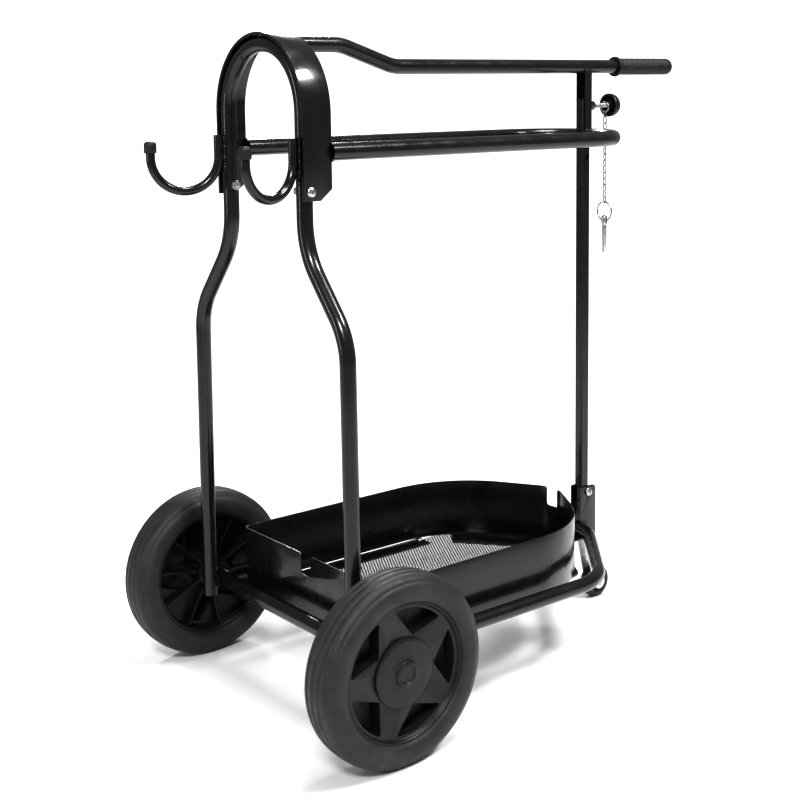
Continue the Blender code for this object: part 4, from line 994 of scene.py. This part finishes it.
def chain():
    drop = CHAIN_RING_RADIUS - CHAIN_RING_WIRE / 2 - BOLT / 2 - 0.0002
    centre = Vector((CHAIN_X, 0, KNOB_Z - drop))
    loop = circle(centre, CHAIN_RING_RADIUS, (0, 1, 0), (0, 0, 1), 56)
    show(rod(loop, CHAIN_RING_WIRE, 5, closed=True), "chain_loop", "chain", WIRE, "chain_ring")
    wire = CHAIN_WIRE / 2
    top = centre.z - CHAIN_RING_RADIUS + CHAIN_RING_WIRE / 2 + wire + GAP
    pitch = LINK_LENGTH - 4 * wire + 0.0004
    links = []
    for i in range(LINK_COUNT):
        height = top + wire - LINK_LENGTH / 2 - i * pitch
        across = Vector((0, 1, 0)) if i % 2 else Vector((1, 0, 0))
        lean = Matrix.Rotation(radians(9 * sin(i * 2.4)), 3, "Z")
        radius = (LINK_WIDTH - CHAIN_WIRE) / 2
        run = (LINK_LENGTH - CHAIN_WIRE) / 2 - radius
        centre, end = Vector((CHAIN_X, 0, height)), Vector((0, 0, run))
        side = lean @ across
        points = half_circle(centre + end, radius, side, (0, 0, 1), radians(15))
        points += half_circle(centre - end, radius, -side, (0, 0, -1), radians(15))
        links.append(rod(points, 0.0019, 4, closed=True))
    show(joined(links), "chain_links", "chain", WIRE, "pin_chain", sharp=60)
    last = top + 2 * wire - LINK_LENGTH - (LINK_COUNT - 1) * pitch
    ring_top = last + CHAIN_WIRE / 2 + PIN_RING_WIRE / 2 + GAP
    centre = Vector((CHAIN_X, 0, ring_top - PIN_RING_RADIUS))
    loop = circle(centre, PIN_RING_RADIUS, (0, 1, 0), (0, 0, 1), 96)
    show(rod(loop, PIN_RING_WIRE, 6, closed=True), "pull_ring", "pin", WIRE, "pin_ring")
    hole_z = centre.z - PIN_RING_RADIUS + 0.0005
    height = hole_z + 0.0099 - PIN_END_Z
    profile = [
        (0.0, height), (0.0030, height - 0.0002), (0.0044, height - 0.0009), (0.0052, height - 0.0024),
        (0.0052, height - 0.0160), (0.0049, height - 0.0170), (PIN / 2, height - 0.0182),
        (PIN / 2, 0.0026), (0.0034, 0.0010), (0.0022, 0.0), (0.0, 0.0),
    ]
    pin = turned(profile, (CHAIN_X, 0, PIN_END_Z), (0, 0, 1), 48)
    pin = combined(pin, cylinder(0.0026, (CHAIN_X, -0.012, hole_z), (CHAIN_X, 0.012, hole_z)))
    show(pin, "locking_pin", "pin", ZINC, "lock_pin")


# ---- floor, light and camera ----
def stage():
    mesh = bpy.data.meshes.new("floor")
    shape = bmesh.new()
    bmesh.ops.create_circle(shape, cap_ends=True, segments=96, radius=STAGE_RADIUS)
    shape.to_mesh(mesh)
    shape.free()
    floor = bpy.data.objects.new("floor", mesh)
    floor.location.z = -GAP
    floor.data.materials.append(FLOOR)
    SCENE.collection.objects.link(floor)
    light_strength, seen_strength = 0.27, 1.0
    world = bpy.data.worlds.new("studio")
    SCENE.world = world
    world.use_nodes = True
    tree = world.node_tree
    back = tree.nodes["Background"]
    back.inputs["Color"].default_value = (1.0, 1.0, 1.0, 1.0)
    path = tree.nodes.new("ShaderNodeLightPath")
    mix = tree.nodes.new("ShaderNodeMapRange")
    mix.inputs["To Min"].default_value = light_strength
    mix.inputs["To Max"].default_value = seen_strength
    tree.links.new(path.outputs["Is Camera Ray"], mix.inputs["Value"])
    tree.links.new(mix.outputs["Result"], back.inputs["Strength"])
    area_light("key", (-2.6, -2.4, 3.2), (1.0, 0.7), 100)
    area_light("strap", (1.2, -1.95, 3.4), (1.0, 0.7), 95)
    area_light("side", (-3.2, 0.9, 1.2), (0.16, 1.8), 16)
    area_light("rim", (1.6, 3.0, 2.6), (0.9, 0.5), 60)
    area_light("top", (0.1, -0.3, 3.7), (1.0, 1.0), 60)


def area_light(name, place, size, energy):
    """A soft box that faces the middle of the cart."""
    light = bpy.data.lights.new(name, "AREA")
    light.shape = "RECTANGLE"
    light.size, light.size_y = size
    light.energy = energy
    obj = bpy.data.objects.new(name, light)
    aim = Vector((0, 0, 0.5)) - Vector(place)
    obj.rotation_euler = aim.to_track_quat("-Z", "Y").to_euler()
    obj.location = place
    SCENE.collection.objects.link(obj)


def camera():
    """The view fitted to the photo: its lens, shift, place and angles."""
    azimuth, elevation, roll = radians(-39.128), radians(7.422), radians(-0.6235)
    place = (-1.0711 + SHIFT, -1.6781, 0.9272 + RAISE)
    back = Vector((sin(azimuth) * cos(elevation), -cos(azimuth) * cos(elevation), sin(elevation)))
    right = Vector((cos(azimuth), sin(azimuth), 0))
    up = back.cross(right)
    x_axis = cos(roll) * right + sin(roll) * up
    y_axis = -sin(roll) * right + cos(roll) * up
    data = bpy.data.cameras.new("camera")
    data.sensor_width = 36.0
    data.lens = 61.30
    data.shift_x = -0.0300
    data.shift_y = -0.1715
    obj = bpy.data.objects.new("camera", data)
    turn = Matrix((x_axis, y_axis, back)).transposed().to_4x4()
    obj.matrix_world = Matrix.Translation(place) @ turn
    SCENE.collection.objects.link(obj)
    SCENE.camera = obj


front_frame()
hooks()
fold_bolts()
axle()
for SIDE, SIGN in SIDES.items():
    wheel(SIDE, SIGN)
base()
tray()
rear_bracket()
roller_fork()
roller()
post()
strap()
saddle_rail()
handle()
clamp_channel()
knob()
chain()
stage()
camera()
SCENE.view_settings.view_transform = "Standard"
SCENE.view_settings.look = "High Contrast"
